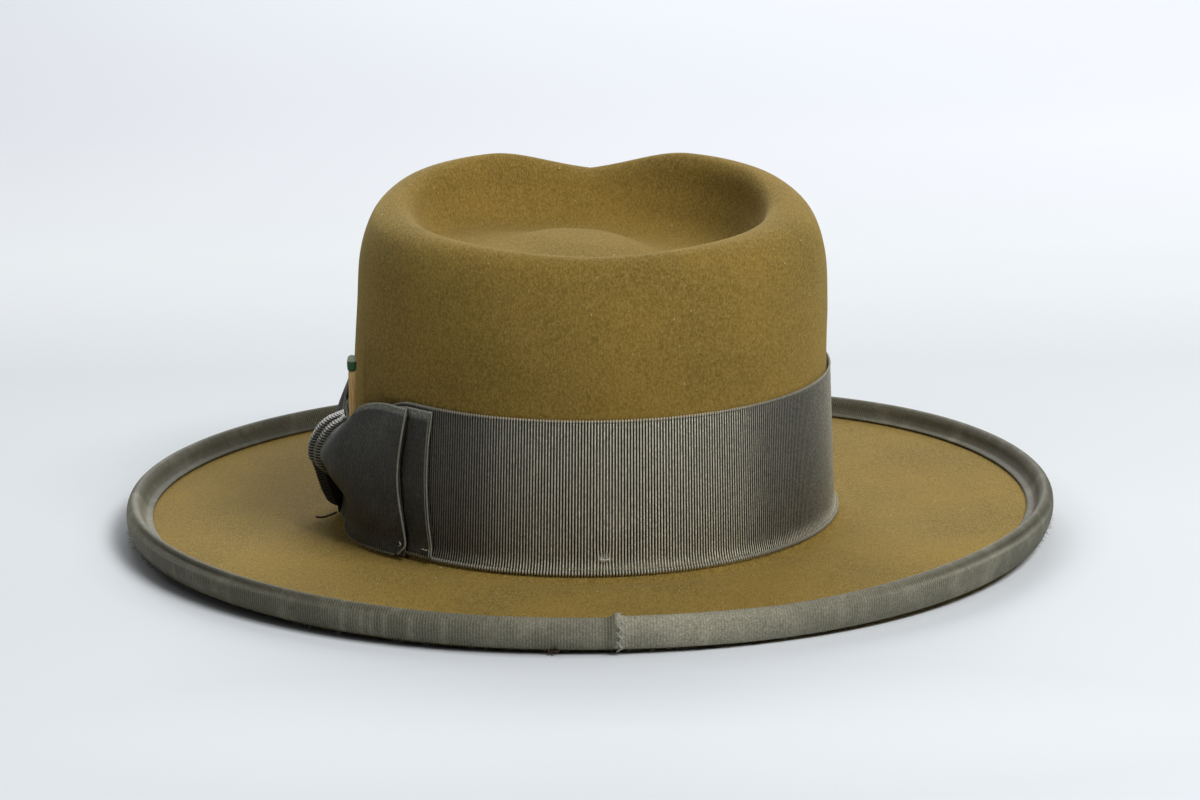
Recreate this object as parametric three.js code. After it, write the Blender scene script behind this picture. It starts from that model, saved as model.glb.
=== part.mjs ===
import * as THREE from 'three';
import { mergeVertices } from 'three/addons/utils/BufferGeometryUtils.js';

// A felt fedora resting brim down. Lengths are millimetres, heights start at the surface it rests on.
// The front faces -Y, and the wearer's left, where the bow is, faces +X.
// An angle goes round the hat from the wearer's left, 0, by the back, 90, to the right, 180.

// Driving dimensions
const roundSteps = 64; // stretches round the oval
const wingSteps = 6; // stretches across a wing of the bow
const matchHeadSteps = 12; // stretches round the match's head
const samePoint = 1e-4; // points closer than this are one
const clearance = 0.3; // between one layer and the next
const feltThickness = 2.2;
const bindingThickness = 0.6;
const bandThickness = 1.0;
const bowRibbonThickness = 0.8;
const foldClearance = 0.4; // between a folded ribbon and what it lies on

const headOval = { halfWidth: 86, halfLength: 102 }; // outside of the felt where crown meets brim
const brimOval = { halfWidth: 163.9, halfLength: 179.5 }; // outside of the felt's rolled edge
const bandTopLevel = 1; // the row of the crown table at which the band ends
const bandFlare = { out: 0.85, height: 7.2 }; // the band's lower edge, out from the head oval

// The bow pulls the band's upper edge down around the knot
const bandDip = { angle: 4, depth: 14, halfWidth: 12, slope: 22 };

// The brim's sides stand a little higher than its front and back, the right one more
const sideLift = { left: 1.2, right: 3.7, flatCosine: 0.25, rollWidth: 14 };

// Outside of the crown, from its foot to the middle of its dent. Each level is an oval: half width, reach to
// the back and to the front, centre, height at back, side and front, share of the two front peaks, and how
// far it leans up to the left.
const crownColumns = ['width', 'back', 'front', 'midX', 'midY', 'zBack', 'zSide', 'zFront', 'peak', 'lean'];
const crownLevels = {
  foot: [86.0, 102.0, 102.0, 0.0, 0, 11.0, 11.0, 11.0, 0.0, 0.0],
  bandTop: [83.8, 100.0, 100.3, -0.6, 0, 58.0, 58.0, 58.0, 0.0, 0.0],
  wall: [83.2, 98.6, 99.5, -1.5, 0, 79.0, 80.0, 81.0, 0.0, 0.0],
  highWall: [82.2, 94.1, 97.6, -1.8, 0, 94.3, 97.1, 99.0, 1.6, 0.5],
  shoulder: [78.7, 89.3, 94.5, -1.8, 0, 104.2, 107.9, 108.5, 4.8, 0.3],
  brow: [73.8, 84.2, 90.0, -1.2, 0, 108.8, 112.1, 111.5, 7.8, 0.2],
  crest: [67.0, 78.9, 84.5, -0.6, 0, 109.9, 113.3, 112.3, 8.9, 0.2],
  lip: [61.0, 73.4, 78.5, -0.3, 0, 108.0, 111.1, 109.9, 7.8, 0.3],
  dentWall: [57.0, 69.3, 72.5, 0.0, 0, 103.4, 105.4, 104.4, 3.6, 1.0],
  dentFoot: [51.5, 62.5, 63.5, 0.0, -1, 98.6, 99.4, 98.4, 0.6, 2.4],
  hollow: [42.5, 51.0, 48.0, 0.0, -4, 96.4, 97.0, 96.0, 0.0, 3.6],
  rise: [28.0, 35.0, 30.0, 0.3, -10, 97.5, 97.5, 97.3, 0.0, 2.9],
  cushion: [15.0, 17.0, 15.5, 0.3, -15, 100.6, 100.6, 100.6, 0.0, 1.5],
  middle: [0.0, 0.0, 0.0, 0.3, -18, 101.8, 101.8, 101.8, 0.0, 0.0],
};
const crownRows = Object.values(crownLevels);
const footHeight = crownLevels.foot[crownColumns.indexOf('zSide')];
const bandHeight = crownLevels.bandTop[crownColumns.indexOf('zSide')];

// How quickly the crown's height goes over from its sides to its back and its front, as powers of the cosine
const heightBlend = { back: 1.3, front: 2.0 };

// The places along the crown table at which the felt's outside and inside have a ring of points
const outsideLevels = [13, 12, 11, 10, 9, 8, 7.5, 7, 6.5, 6, 5.5, 5, 4.5, 4, 3, 2, 1, 0.5, 0];
const insideLevels = [0, 1, 2, 3, 4, 5, 6, 7, 8, 10, 13];

// The two front peaks, and the soft pinches under them. Angles are measured from the front.
const peaks = { angle: 32.5, towardsMiddle: 24.8, towardsSide: 72, turn: -2.6, fadeFrom: 58, fadeOver: 75 };
const pinches = { angle: 40, spread: 17, depth: 6.8, height: 88, heightSpread: 17, lastLevel: 6.5 };

// The felt from the crown's foot down the fillet: distance out from the head oval, and height
const filletTop = [[0.3, 8.0], [1.2, 6.2], [3.2, 5.4]];
const filletUnder = [[6.0, 3.0], [2.2, 3.4], [-0.4, 4.6], [-1.9, 7.0]];

// The brim's top, its rolled edge and its underside: distance in from the edge, and height at front and back
const brimTop = [[60, 5.2], [40, 5.1], [20, 4.9], [12, 4.8]];
const edgeTop = [[8.2, 4.9], [5.8, 5.5], [4.3, 7.3], [3.1, 9.9], [2.0, 10.9]];
const edgeOutside = [[0.9, 10.2], [0.2, 8.4], [0, 6.3], [0.4, 4.0], [1.4, 2.2]];
const edgeUnder = [[3.0, 0.8], [4.8, 0.0], [8.6, 0.0], [11.0, 0.9], [14.0, 2.5]];
const brimUnder = [[30, 2.8], [50, 2.9]];

// The bow. Its ribbon lies on the band between two angles; its knot stands out from it.
const underLayer = { from: -30, to: 50, low: 7.6, belowBandTop: 1, steps: 14 };
const knot = { angle: 4, halfAngle: 3.8, thickness: 1.6, steps: 4, grooveDepth: 0.9, innerOut: 1.2 };
const knotPath = [[44.5, 2.6], [42, 6.0], [37, 10.2], [30, 12.6], [23, 11.6], [15, 8.6], [10.5, 6.2], [8.2, 4.6]];

// Each wing of the bow, from the knot outwards: share of its length, low and high edge, and how far the
// ribbon's outer face stands out from the band at the low edge, the middle and the high edge
const wingColumns = ['along', 'low', 'high', 'outLow', 'outMiddle', 'outHigh'];
const backWing = {
  from: 8.2,
  to: 41.5,
  steps: 12,
  sections: [
    [0.0, 24.0, 40.5, 6.5, 9.4, 6.0],
    [0.18, 17.0, 41.5, 6.2, 9.2, 6.2],
    [0.35, 9.4, 45.0, 6.2, 7.4, 6.0],
    [0.55, 6.9, 51.5, 6.8, 5.2, 4.0],
    [0.8, 6.7, 55.4, 4.8, 3.4, 2.3],
    [1.0, 6.9, 56.2, 2.7, 2.3, 2.1],
  ],
};
const frontWing = {
  from: -0.2,
  to: -29,
  steps: 10,
  sections: [
    [0.0, 24.0, 40.5, 6.5, 9.4, 5.6],
    [0.2, 17.0, 43.0, 6.4, 9.0, 5.6],
    [0.42, 9.4, 49.0, 6.8, 6.8, 4.6],
    [0.7, 8.0, 53.5, 5.4, 4.4, 3.0],
    [1.0, 7.6, 54.6, 3.0, 2.6, 2.2],
  ],
};

// The match: a square stick with a dipped head, upright between the band and the back wing
const match = { angle: 20.5, out: 3.5, width: 2.2, low: 23, high: 68, headLength: 6.4, headRadius: 1.45 };

// The outline of its head: share of the radius, share of the length
const matchHeadOutline = [[0, 0], [0.86, 0], [1, 0.35], [1, 0.7], [0.6, 0.95], [0, 1]];

// Small helpers
const radians = (degrees) => (degrees * Math.PI) / 180;

function smoothStep(value) {
  const x = Math.min(1, Math.max(0, value));
  return x * x * (3 - 2 * x);
}

function bell(distance, spread) {
  return Math.exp(-((distance / spread) ** 2));
}

// A smooth curve through the rows of a table, at a position that counts rows from 0
function curveThrough(rows, position) {
  const last = rows.length - 1;
  const row = Math.min(last - 1, Math.floor(position));
  const f = position - row;
  const near = rows[row];
  const next = rows[row + 1];
  const before = rows[Math.max(0, row - 1)];
  const after = rows[Math.min(last, row + 2)];
  return near.map((value, column) => {
    const straight = next[column] - before[column];
    const bend = 2 * before[column] - 5 * value + 4 * next[column] - after[column];
    const turn = 3 * value - before[column] - 3 * next[column] + after[column];
    return value + 0.5 * (straight * f + bend * f * f + turn * f * f * f);
  });
}

function namedColumns(columns, values) {
  return Object.fromEntries(columns.map((column, index) => [column, values[index]]));
}

// Degrees from the front, between -180 and 180, growing towards the left
function degreesFromFront(angle) {
  const halfTurn = 180;
  const fullTurn = 360;
  const turned = ((angle * halfTurn) / Math.PI + fullTurn * 0.75) % fullTurn;
  return (turned < 0 ? turned + fullTurn : turned) - halfTurn;
}

// A point on the crown's outside
function crownPoint(angle, level) {
  const oval = namedColumns(crownColumns, curveThrough(crownRows, level));
  const cosine = Math.cos(angle);
  const sine = Math.sin(angle);
  const towardsBack = sine > 0;
  const sideShare = Math.abs(cosine) ** (towardsBack ? heightBlend.back : heightBlend.front);
  const endHeight = towardsBack ? oval.zBack : oval.zFront;
  const fromPeaks = Math.abs(degreesFromFront(angle) - peaks.turn);
  const spread = fromPeaks < peaks.angle ? peaks.towardsMiddle : peaks.towardsSide;
  const faded = 1 - smoothStep((fromPeaks - peaks.fadeFrom) / peaks.fadeOver);
  const rise = oval.peak * bell(fromPeaks - peaks.angle, spread) * faded;
  const z = oval.zSide * sideShare + endHeight * (1 - sideShare) + rise + oval.lean * cosine;
  const depth = level < pinches.lastLevel ? pinches.depth : 0;
  const aroundPinch = bell(fromPeaks - pinches.angle, pinches.spread);
  const pinch = depth * aroundPinch * bell(z - pinches.height, pinches.heightSpread);
  const shrink = 1 - pinch / headOval.halfLength;
  const length = towardsBack ? oval.back : oval.front;
  return new THREE.Vector3(oval.midX + oval.width * cosine * shrink, oval.midY + length * sine * shrink, z);
}

// The crown's outward direction, from two short steps along it
function crownNormal(angle, level) {
  const step = 0.01;
  const lastLevel = crownRows.length - 1;
  if (level >= lastLevel) return new THREE.Vector3(0, 0, 1);
  const round = crownPoint(angle + step, level).sub(crownPoint(angle - step, level));
  const up = crownPoint(angle, Math.min(lastLevel, level + step));
  up.sub(crownPoint(angle, Math.max(0, level - step)));
  return round.cross(up).normalize();
}

function crownOffset(angle, level, distance) {
  return crownPoint(angle, level).addScaledVector(crownNormal(angle, level), distance);
}

// How far the brim's edge is lifted at an angle
function edgeLift(angle) {
  const cosine = Math.cos(angle);
  const side = cosine > 0 ? sideLift.left : sideLift.right;
  return side * smoothStep((Math.abs(cosine) - sideLift.flatCosine) / (1 - sideLift.flatCosine));
}

// A point of the brim, by its distance in from the edge
function brimPoint(angle, inset, height) {
  const edge = new THREE.Vector2(brimOval.halfWidth * Math.cos(angle), brimOval.halfLength * Math.sin(angle));
  const head = new THREE.Vector2(headOval.halfWidth * Math.cos(angle), headOval.halfLength * Math.sin(angle));
  const reach = edge.distanceTo(head);
  const place = edge.lerp(head, inset / reach);
  const flat = smoothStep((inset - sideLift.rollWidth) / (reach - sideLift.rollWidth));
  return new THREE.Vector3(place.x, place.y, height + edgeLift(angle) * (1 - flat));
}

// A point of the fillet, by its distance out from the head oval
function filletPoint(angle, out, height) {
  const edge = new THREE.Vector2(brimOval.halfWidth * Math.cos(angle), brimOval.halfLength * Math.sin(angle));
  const head = new THREE.Vector2(headOval.halfWidth * Math.cos(angle), headOval.halfLength * Math.sin(angle));
  return brimPoint(angle, edge.distanceTo(head) - out, height);
}

// The height of the band's upper edge
function bandTop(angle) {
  const fromKnot = Math.abs(degreesFromFront(angle) - degreesFromFront(radians(bandDip.angle)));
  const share = 1 - smoothStep((fromKnot - bandDip.halfWidth) / bandDip.slope);
  return bandHeight - bandDip.depth * share;
}

// A point standing out from the band's seat by a distance, at a height between the crown's foot and band top
function bandPoint(angle, height, out) {
  const share = (height - footHeight) / (bandHeight - footHeight);
  const flare = bandFlare.out * Math.max(0, (footHeight - height) / (footHeight - bandFlare.height));
  const foot = crownPoint(angle, 0);
  const top = crownPoint(angle, bandTopLevel);
  const outwards = crownNormal(angle, bandTopLevel / 2);
  return foot.lerp(top, share).addScaledVector(outwards, out + flare);
}

// A closed body from sections that have the same number of points. Each section is a loop when wrapSection
// is true, and the sections follow one another round in a ring when wrapRound is true.
function bodyFromSections(sections, { wrapRound, wrapSection }) {
  const positions = [];
  const addTriangle = (a, b, c) => {
    const same = (p, q) => p.distanceTo(q) < samePoint;
    if (same(a, b) || same(b, c) || same(c, a)) return;
    positions.push(a.x, a.y, a.z, b.x, b.y, b.z, c.x, c.y, c.z);
  };
  const addQuad = (a, b, c, d) => {
    addTriangle(a, b, c);
    addTriangle(a, c, d);
  };
  const sectionCount = sections.length;
  const pointCount = sections[0].length;
  for (let i = 0; i < (wrapRound ? sectionCount : sectionCount - 1); i += 1) {
    const here = sections[i];
    const next = sections[(i + 1) % sectionCount];
    for (let j = 0; j < (wrapSection ? pointCount : pointCount - 1); j += 1) {
      const k = (j + 1) % pointCount;
      addQuad(here[j], next[j], next[k], here[k]);
    }
  }
  if (!wrapRound) {
    const half = pointCount / 2;
    const first = sections[0];
    const last = sections[sectionCount - 1];
    for (let j = 0; j < half - 1; j += 1) {
      const far = pointCount - 1 - j;
      addQuad(first[j], first[j + 1], first[far - 1], first[far]);
      addQuad(last[j + 1], last[j], last[far], last[far - 1]);
    }
  }
  return facingOut(positions);
}

// The merged body, turned so that its faces point outwards
function facingOut(positions) {
  let volume = 0;
  const corner = (index) => new THREE.Vector3().fromArray(positions, index);
  for (let i = 0; i < positions.length; i += 9) {
    volume += corner(i).dot(corner(i + 3).cross(corner(i + 6)));
  }
  if (volume < 0) {
    for (let i = 0; i < positions.length; i += 9) {
      const second = positions.slice(i + 3, i + 6);
      positions.splice(i + 3, 6, ...positions.slice(i + 6, i + 9), ...second);
    }
  }
  const geometry = new THREE.BufferGeometry();
  geometry.setAttribute('position', new THREE.Float32BufferAttribute(positions, 3));
  const merged = mergeVertices(geometry, samePoint);
  merged.computeVertexNormals();
  return merged;
}

function anglesRound() {
  return Array.from({ length: roundSteps }, (_, step) => (2 * Math.PI * step) / roundSteps);
}

// The felt's section at one angle, from the middle of the dent out to the brim's edge and back inside
function feltSection(angle) {
  return [
    ...outsideLevels.map((level) => crownPoint(angle, level)),
    ...filletTop.map(([out, height]) => filletPoint(angle, out, height)),
    ...[...brimTop, ...edgeTop, ...edgeOutside, ...edgeUnder, ...brimUnder].map(([inset, height]) =>
      brimPoint(angle, inset, height),
    ),
    ...filletUnder.map(([out, height]) => filletPoint(angle, out, height)),
    ...insideLevels.map((level) => crownOffset(angle, level, -feltThickness)),
  ];
}

function makeFelt() {
  return bodyFromSections(anglesRound().map(feltSection), { wrapRound: true, wrapSection: false });
}

// A line of inset and height pairs moved outwards by a distance, square to the line
function offsetLine(line, distance) {
  return line.map(([inset, height], index) => {
    const before = line[Math.max(0, index - 1)];
    const after = line[Math.min(line.length - 1, index + 1)];
    const run = after[0] - before[0];
    const rise = after[1] - before[1];
    const length = Math.hypot(run, rise);
    return [inset + (rise / length) * distance, height - (run / length) * distance];
  });
}

// The ribbon folded over the brim's rolled edge
function makeBinding() {
  const covered = [...edgeTop, ...edgeOutside];
  const inner = offsetLine(covered, clearance);
  const outer = offsetLine(covered, clearance + bindingThickness);
  const loop = [...outer, ...inner.reverse()];
  const section = (angle) => loop.map(([inset, height]) => brimPoint(angle, inset, height));
  return bodyFromSections(anglesRound().map(section), { wrapRound: true, wrapSection: true });
}

// The ribbon round the crown, flared a little at its foot
function makeBand() {
  const section = (angle) => {
    const topLevel = (bandTopLevel * (bandTop(angle) - footHeight)) / (bandHeight - footHeight);
    const levels = [0, topLevel / 2, topLevel];
    const line = (distance) => [
      filletPoint(angle, bandFlare.out + distance, bandFlare.height),
      ...levels.map((level) => crownOffset(angle, level, distance)),
    ];
    return [...line(clearance + bandThickness), ...line(clearance).reverse()];
  };
  return bodyFromSections(anglesRound().map(section), { wrapRound: true, wrapSection: true });
}

// The bow's flat ribbon on the band
function makeUnderLayer() {
  const { from, to, steps, low, belowBandTop } = underLayer;
  const inside = clearance + bandThickness + foldClearance;
  const sections = [];
  for (let step = 0; step <= steps; step += 1) {
    const angle = radians(from + ((to - from) * step) / steps);
    const high = bandTop(angle) - belowBandTop;
    const heights = [low, footHeight, (footHeight + high) / 2, high];
    sections.push([
      ...heights.map((height) => bandPoint(angle, height, inside + bowRibbonThickness)),
      ...[...heights].reverse().map((height) => bandPoint(angle, height, inside)),
    ]);
  }
  return bodyFromSections(sections, { wrapRound: false, wrapSection: true });
}

// One wing of the bow: a ribbon that bulges from the band and is gathered towards the knot
function makeWing({ from, to, steps, sections }) {
  const seat = clearance + bandThickness;
  const shares = Array.from({ length: wingSteps + 1 }, (_, index) => index / wingSteps);
  const loops = [];
  for (let step = 0; step <= steps; step += 1) {
    const along = step / steps;
    let row = 0;
    while (row < sections.length - 2 && sections[row + 1][0] < along) row += 1;
    const share = (along - sections[row][0]) / (sections[row + 1][0] - sections[row][0]);
    const shape = namedColumns(wingColumns, curveThrough(sections, row + share));
    const angle = radians(from + (to - from) * along);
    const point = (across, depth) => {
      const bend = curveThrough([[shape.outLow], [shape.outMiddle], [shape.outHigh]], across * 2)[0];
      return bandPoint(angle, shape.low + (shape.high - shape.low) * across, seat + bend - depth);
    };
    loops.push([
      ...shares.map((across) => point(across, 0)),
      ...[...shares].reverse().map((across) => point(across, bowRibbonThickness)),
    ]);
  }
  return bodyFromSections(loops, { wrapRound: false, wrapSection: true });
}

// The knot: a strip over the bow's middle with a groove between its two pleats
function makeKnot() {
  const seat = clearance + bandThickness;
  const loops = [];
  for (const [height, out] of knotPath) {
    const outer = [];
    const inner = [];
    for (let step = 0; step <= knot.steps; step += 1) {
      const share = step / knot.steps;
      const angle = radians(knot.angle + knot.halfAngle * (2 * share - 1));
      const groove = share === 0.5 ? knot.grooveDepth : 0;
      outer.push(bandPoint(angle, height, seat + out - groove));
      inner.push(bandPoint(angle, height, seat + Math.max(out - knot.thickness, knot.innerOut)));
    }
    loops.push([...outer, ...inner.reverse()]);
  }
  return bodyFromSections(loops, { wrapRound: false, wrapSection: true });
}

function makeMatchStick() {
  return new THREE.BoxGeometry(match.width, match.width, match.high - match.headLength - match.low);
}

function makeMatchHead() {
  const outline = matchHeadOutline.map(
    ([out, up]) => new THREE.Vector2(out * match.headRadius, up * match.headLength),
  );
  return new THREE.LatheGeometry(outline, matchHeadSteps).rotateX(Math.PI / 2);
}

// Materials
const feltMaterial = new THREE.MeshStandardMaterial({ color: 0x7a6330, roughness: 0.95, metalness: 0 });
const ribbonMaterial = new THREE.MeshStandardMaterial({ color: 0x5f5c4e, roughness: 0.8, metalness: 0 });
const bowMaterial = new THREE.MeshStandardMaterial({ color: 0x35352f, roughness: 0.8, metalness: 0 });
const woodMaterial = new THREE.MeshStandardMaterial({ color: 0xc79a66, roughness: 0.7, metalness: 0 });
const headMaterial = new THREE.MeshStandardMaterial({ color: 0x2f4a30, roughness: 0.6, metalness: 0 });

function namedMesh(name, geometry, material) {
  const mesh = new THREE.Mesh(geometry, material.clone());
  mesh.name = name;
  return mesh;
}

const hat = new THREE.Group();
hat.add(namedMesh('felt_body', makeFelt(), feltMaterial));
hat.add(namedMesh('brim_binding', makeBinding(), ribbonMaterial));
hat.add(namedMesh('hat_band', makeBand(), ribbonMaterial));
hat.add(namedMesh('bow_under_layer', makeUnderLayer(), bowMaterial));
hat.add(namedMesh('bow_wing_back', makeWing(backWing), bowMaterial));
hat.add(namedMesh('bow_wing_front', makeWing(frontWing), bowMaterial));
hat.add(namedMesh('bow_knot', makeKnot(), bowMaterial));

// The match's head stands on its stick
const matchAngle = radians(match.angle);
const stickTop = match.high - match.headLength;
const stick = namedMesh('match_stick', makeMatchStick(), woodMaterial);
stick.position.copy(bandPoint(matchAngle, (match.low + stickTop) / 2, clearance + bandThickness + match.out));
stick.rotation.z = matchAngle;
hat.add(stick);
const matchHead = namedMesh('match_head', makeMatchHead(), headMaterial);
matchHead.position.copy(stick.position).setZ(stickTop + clearance);
hat.add(matchHead);

export default hat;
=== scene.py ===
import math

import bpy
import numpy as np
from mathutils import Matrix, Vector


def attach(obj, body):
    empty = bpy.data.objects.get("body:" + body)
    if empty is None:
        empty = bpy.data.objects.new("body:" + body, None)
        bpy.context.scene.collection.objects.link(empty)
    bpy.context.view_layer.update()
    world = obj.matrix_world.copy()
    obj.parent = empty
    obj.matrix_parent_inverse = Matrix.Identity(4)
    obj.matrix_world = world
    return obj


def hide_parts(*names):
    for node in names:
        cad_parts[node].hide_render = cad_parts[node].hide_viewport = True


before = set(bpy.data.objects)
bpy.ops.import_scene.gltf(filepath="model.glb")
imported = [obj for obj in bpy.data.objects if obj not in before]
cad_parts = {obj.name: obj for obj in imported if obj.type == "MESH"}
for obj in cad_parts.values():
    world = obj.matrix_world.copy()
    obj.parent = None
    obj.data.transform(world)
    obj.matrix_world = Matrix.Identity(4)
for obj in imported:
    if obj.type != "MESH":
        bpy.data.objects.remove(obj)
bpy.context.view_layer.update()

print("frame loaded")

# Lengths below are millimetres in the frame's axes. An angle goes round the hat from the wearer's left,
# 0, by the back, 90, to the right, 180.
metresPerMm = 0.001

# The felt's shape. Each row of the crown is an oval: half width, reach to the back and to the front, the
# middle's two places, height at the back, the side and the front, the front peaks' rise, and how far it
# leans up to the left. The brim's rings are pairs of a distance and a height: out from the head oval for the
# fillets, and in from the brim's edge for the rest. The outside's levels are from, to and steps.
felt = {
    "headOval": (86.0, 102.0),
    "brimOval": (163.9, 179.5),
    "thickness": 2.2,
    "crown": [
        [86.0, 102.0, 102.0, 0.0, 0, 11.0, 11.0, 11.0, 0.0, 0.0],
        [83.8, 100.0, 100.3, -0.6, 0, 58.0, 58.0, 58.0, 0.0, 0.0],
        [83.2, 98.6, 99.5, -1.5, 0, 79.0, 80.0, 81.0, 0.0, 0.0],
        [82.2, 94.1, 97.6, -1.8, 0, 94.3, 97.1, 99.0, 1.6, 0.5],
        [78.7, 89.3, 94.5, -1.8, 0, 104.2, 107.9, 108.5, 4.8, 0.3],
        [73.8, 84.2, 90.0, -1.2, 0, 108.8, 112.1, 111.5, 7.8, 0.2],
        [67.0, 78.9, 84.5, -0.6, 0, 109.9, 113.3, 112.3, 8.9, 0.2],
        [62.8, 73.4, 78.5, -0.8, 0, 108.0, 111.1, 109.9, 7.8, 0.3],
        [59.6, 69.3, 72.5, -0.8, 0, 103.4, 105.4, 104.4, 3.6, 1.0],
        [53.8, 62.5, 63.5, -0.6, -1, 98.6, 99.4, 98.4, 0.6, 2.4],
        [44.6, 51.0, 48.0, -0.2, -4, 96.4, 97.0, 96.0, 0.0, 3.6],
        [28.0, 35.0, 30.0, 0.3, -10, 97.5, 97.5, 97.3, 0.0, 2.9],
        [15.0, 17.0, 15.5, 0.3, -15, 100.6, 100.6, 100.6, 0.0, 1.5],
        [0.0, 0.0, 0.0, 0.3, -18, 101.8, 101.8, 101.8, 0.0, 0.0],
    ],
    "heightBlend": (1.3, 2.0),
    "peaks": {
        "angle": 32.5,
        "towardsMiddle": 24.8,
        "towardsSide": 72,
        "turn": -2.6,
        "fadeFrom": 58,
        "fadeOver": 75,
    },
    "pinches": {
        "angle": 40,
        "spread": 17,
        "depth": 6.8,
        "height": 88,
        "heightSpread": 17,
        "fadeLevel": 5.5,
        "fadeOver": 2,
    },
    "fillet": [[0.3, 8.0], [1.2, 6.2], [3.2, 5.4]],
    "filletUnder": [[6.0, 3.0], [2.2, 3.4], [-0.4, 4.6], [-1.9, 7.0]],
    "brimTop": [[60, 5.2], [40, 5.1], [20, 4.9], [12, 4.8]],
    "edgeTop": [[8.2, 4.9], [5.8, 5.5], [4.3, 7.3], [3.1, 9.9], [2.0, 10.9]],
    "edgeOutside": [[0.9, 10.2], [0.2, 8.4], [0, 6.3], [0.4, 4.0], [1.4, 2.2]],
    "edgeUnder": [[3.0, 0.8], [4.8, 0.0], [8.6, 0.0], [11.0, 0.9], [14.0, 2.5]],
    "brimUnder": [[30, 2.8], [50, 2.9]],
    "sideLift": {"left": 1.2, "right": 3.7, "flatCosine": 0.25, "rollWidth": 14},
    "columns": 288,
    "outsideLevels": [[13, 8, 50], [8, 3, 80], [3, 1, 24], [1, 0, 5]],
    "insideSteps": 36,
    "sectionSteps": [3, 3, 3, 8, 8, 8, 5, 4, 3, 4, 4, 3, 3, 4, 4, 4, 4, 3, 4, 4, 3, 3, 5, 4, 4, 3, 3, 3],
}


# 0 up to 0 and 1 from 1 on, with an even S between them
def easeStep(value):
    x = np.clip(value, 0, 1)
    return x * x * (3 - 2 * x)


# 1 at distance 0, falling off as a bell of that spread
def bell(distance, spread):
    return np.exp(-((distance / spread) ** 2))


# The cubic through a table's rows at a place that counts rows from 0, with each row's slope taken from
# its two neighbours
def curveThrough(table, place):
    rows = np.asarray(table, float)
    place = np.asarray(place, float)
    last = len(rows) - 1
    row = np.clip(np.floor(place).astype(int), 0, last - 1)
    f = (place - row)[..., None]
    near, ahead = rows[row], rows[row + 1]
    before, after = rows[np.maximum(row - 1, 0)], rows[np.minimum(row + 2, last)]
    bend = 2 * before - 5 * near + 4 * ahead - after
    turn = 3 * near - before - 3 * ahead + after
    return near + 0.5 * ((ahead - before) * f + bend * f**2 + turn * f**3)


# Degrees from the front, -180 to 180, growing towards the wearer's left
def fromFront(angle):
    return (np.degrees(angle) + 90 + 180) % 360 - 180


# A point of the crown's outside: an oval whose size and height come from the crown's rows, raised by a
# bell at each front peak and drawn in by a bell at each pinch
def crownPoint(angle, level):
    angle, level = np.broadcast_arrays(np.asarray(angle, float), np.asarray(level, float))
    oval = np.moveaxis(curveThrough(felt["crown"], level), -1, 0)
    width, back, front, midX, midY, zBack, zSide, zFront, peak, lean = oval
    cosine, sine = np.cos(angle), np.sin(angle)
    towardsBack = sine > 0
    blend = np.where(towardsBack, *felt["heightBlend"])
    sideShare = np.abs(cosine) ** blend
    peaks, pinches = felt["peaks"], felt["pinches"]
    away = np.abs(fromFront(angle) - peaks["turn"])
    spread = np.where(away < peaks["angle"], peaks["towardsMiddle"], peaks["towardsSide"])
    faded = 1 - easeStep((away - peaks["fadeFrom"]) / peaks["fadeOver"])
    rise = peak * bell(away - peaks["angle"], spread) * faded
    height = zSide * sideShare + np.where(towardsBack, zBack, zFront) * (1 - sideShare)
    z = height + rise + lean * cosine
    fade = 1 - easeStep((level - pinches["fadeLevel"]) / pinches["fadeOver"])
    pinch = pinches["depth"] * fade * bell(away - pinches["angle"], pinches["spread"])
    pinch = pinch * bell(z - pinches["height"], pinches["heightSpread"])
    shrink = 1 - pinch / felt["headOval"][1]
    length = np.where(towardsBack, back, front)
    return np.stack([midX + width * cosine * shrink, midY + length * sine * shrink, z], -1)


# Vectors brought to length 1
def unit(vectors):
    return vectors / np.maximum(np.linalg.norm(vectors, axis=-1, keepdims=True), 1e-12)


# Coordinates of any shapes that fit together, as one array of points
def stacked(*parts):
    return np.stack(np.broadcast_arrays(*parts), -1)


# How far along a line each of its points lies
def lengthsAlong(line):
    return np.concatenate([[0], np.cumsum(np.linalg.norm(np.diff(line, axis=0), axis=-1))])


# The crown's outward direction: the cross product of two short steps along it
def crownNormal(angle, level):
    step = 0.01
    top = len(felt["crown"]) - 1
    level = np.asarray(level, float)
    around = crownPoint(angle + step, level) - crownPoint(angle - step, level)
    higher, lower = np.minimum(level + step, top), np.maximum(level - step, 0)
    upwards = crownPoint(angle, higher) - crownPoint(angle, lower)
    normal = unit(np.cross(around, upwards))
    atTop = np.broadcast_to(level >= top, normal.shape[:-1])[..., None]
    return np.where(atTop, np.array([0.0, 0.0, 1.0]), normal)


# A point of an oval with two half widths, at an angle
def ovalPoint(oval, angle):
    return np.stack([oval[0] * np.cos(angle), oval[1] * np.sin(angle)], -1)


# The brim's reach at an angle, from the crown's foot to its edge
def brimReach(angle):
    return np.linalg.norm(ovalPoint(felt["brimOval"], angle) - ovalPoint(felt["headOval"], angle), axis=-1)


# A point of the brim: a share of the way from its edge to the head oval, lifted at the sides
def brimPoint(angle, inset, height):
    lift = felt["sideLift"]
    edge, head = ovalPoint(felt["brimOval"], angle), ovalPoint(felt["headOval"], angle)
    reach = brimReach(angle)
    place = edge + (head - edge) * (inset / reach)[..., None]
    cosine = np.cos(angle)
    side = np.where(cosine > 0, lift["left"], lift["right"])
    raised = side * easeStep((np.abs(cosine) - lift["flatCosine"]) / (1 - lift["flatCosine"]))
    flat = easeStep((inset - lift["rollWidth"]) / (reach - lift["rollWidth"]))
    return np.concatenate([place, (height + raised * (1 - flat))[..., None]], -1)


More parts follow.
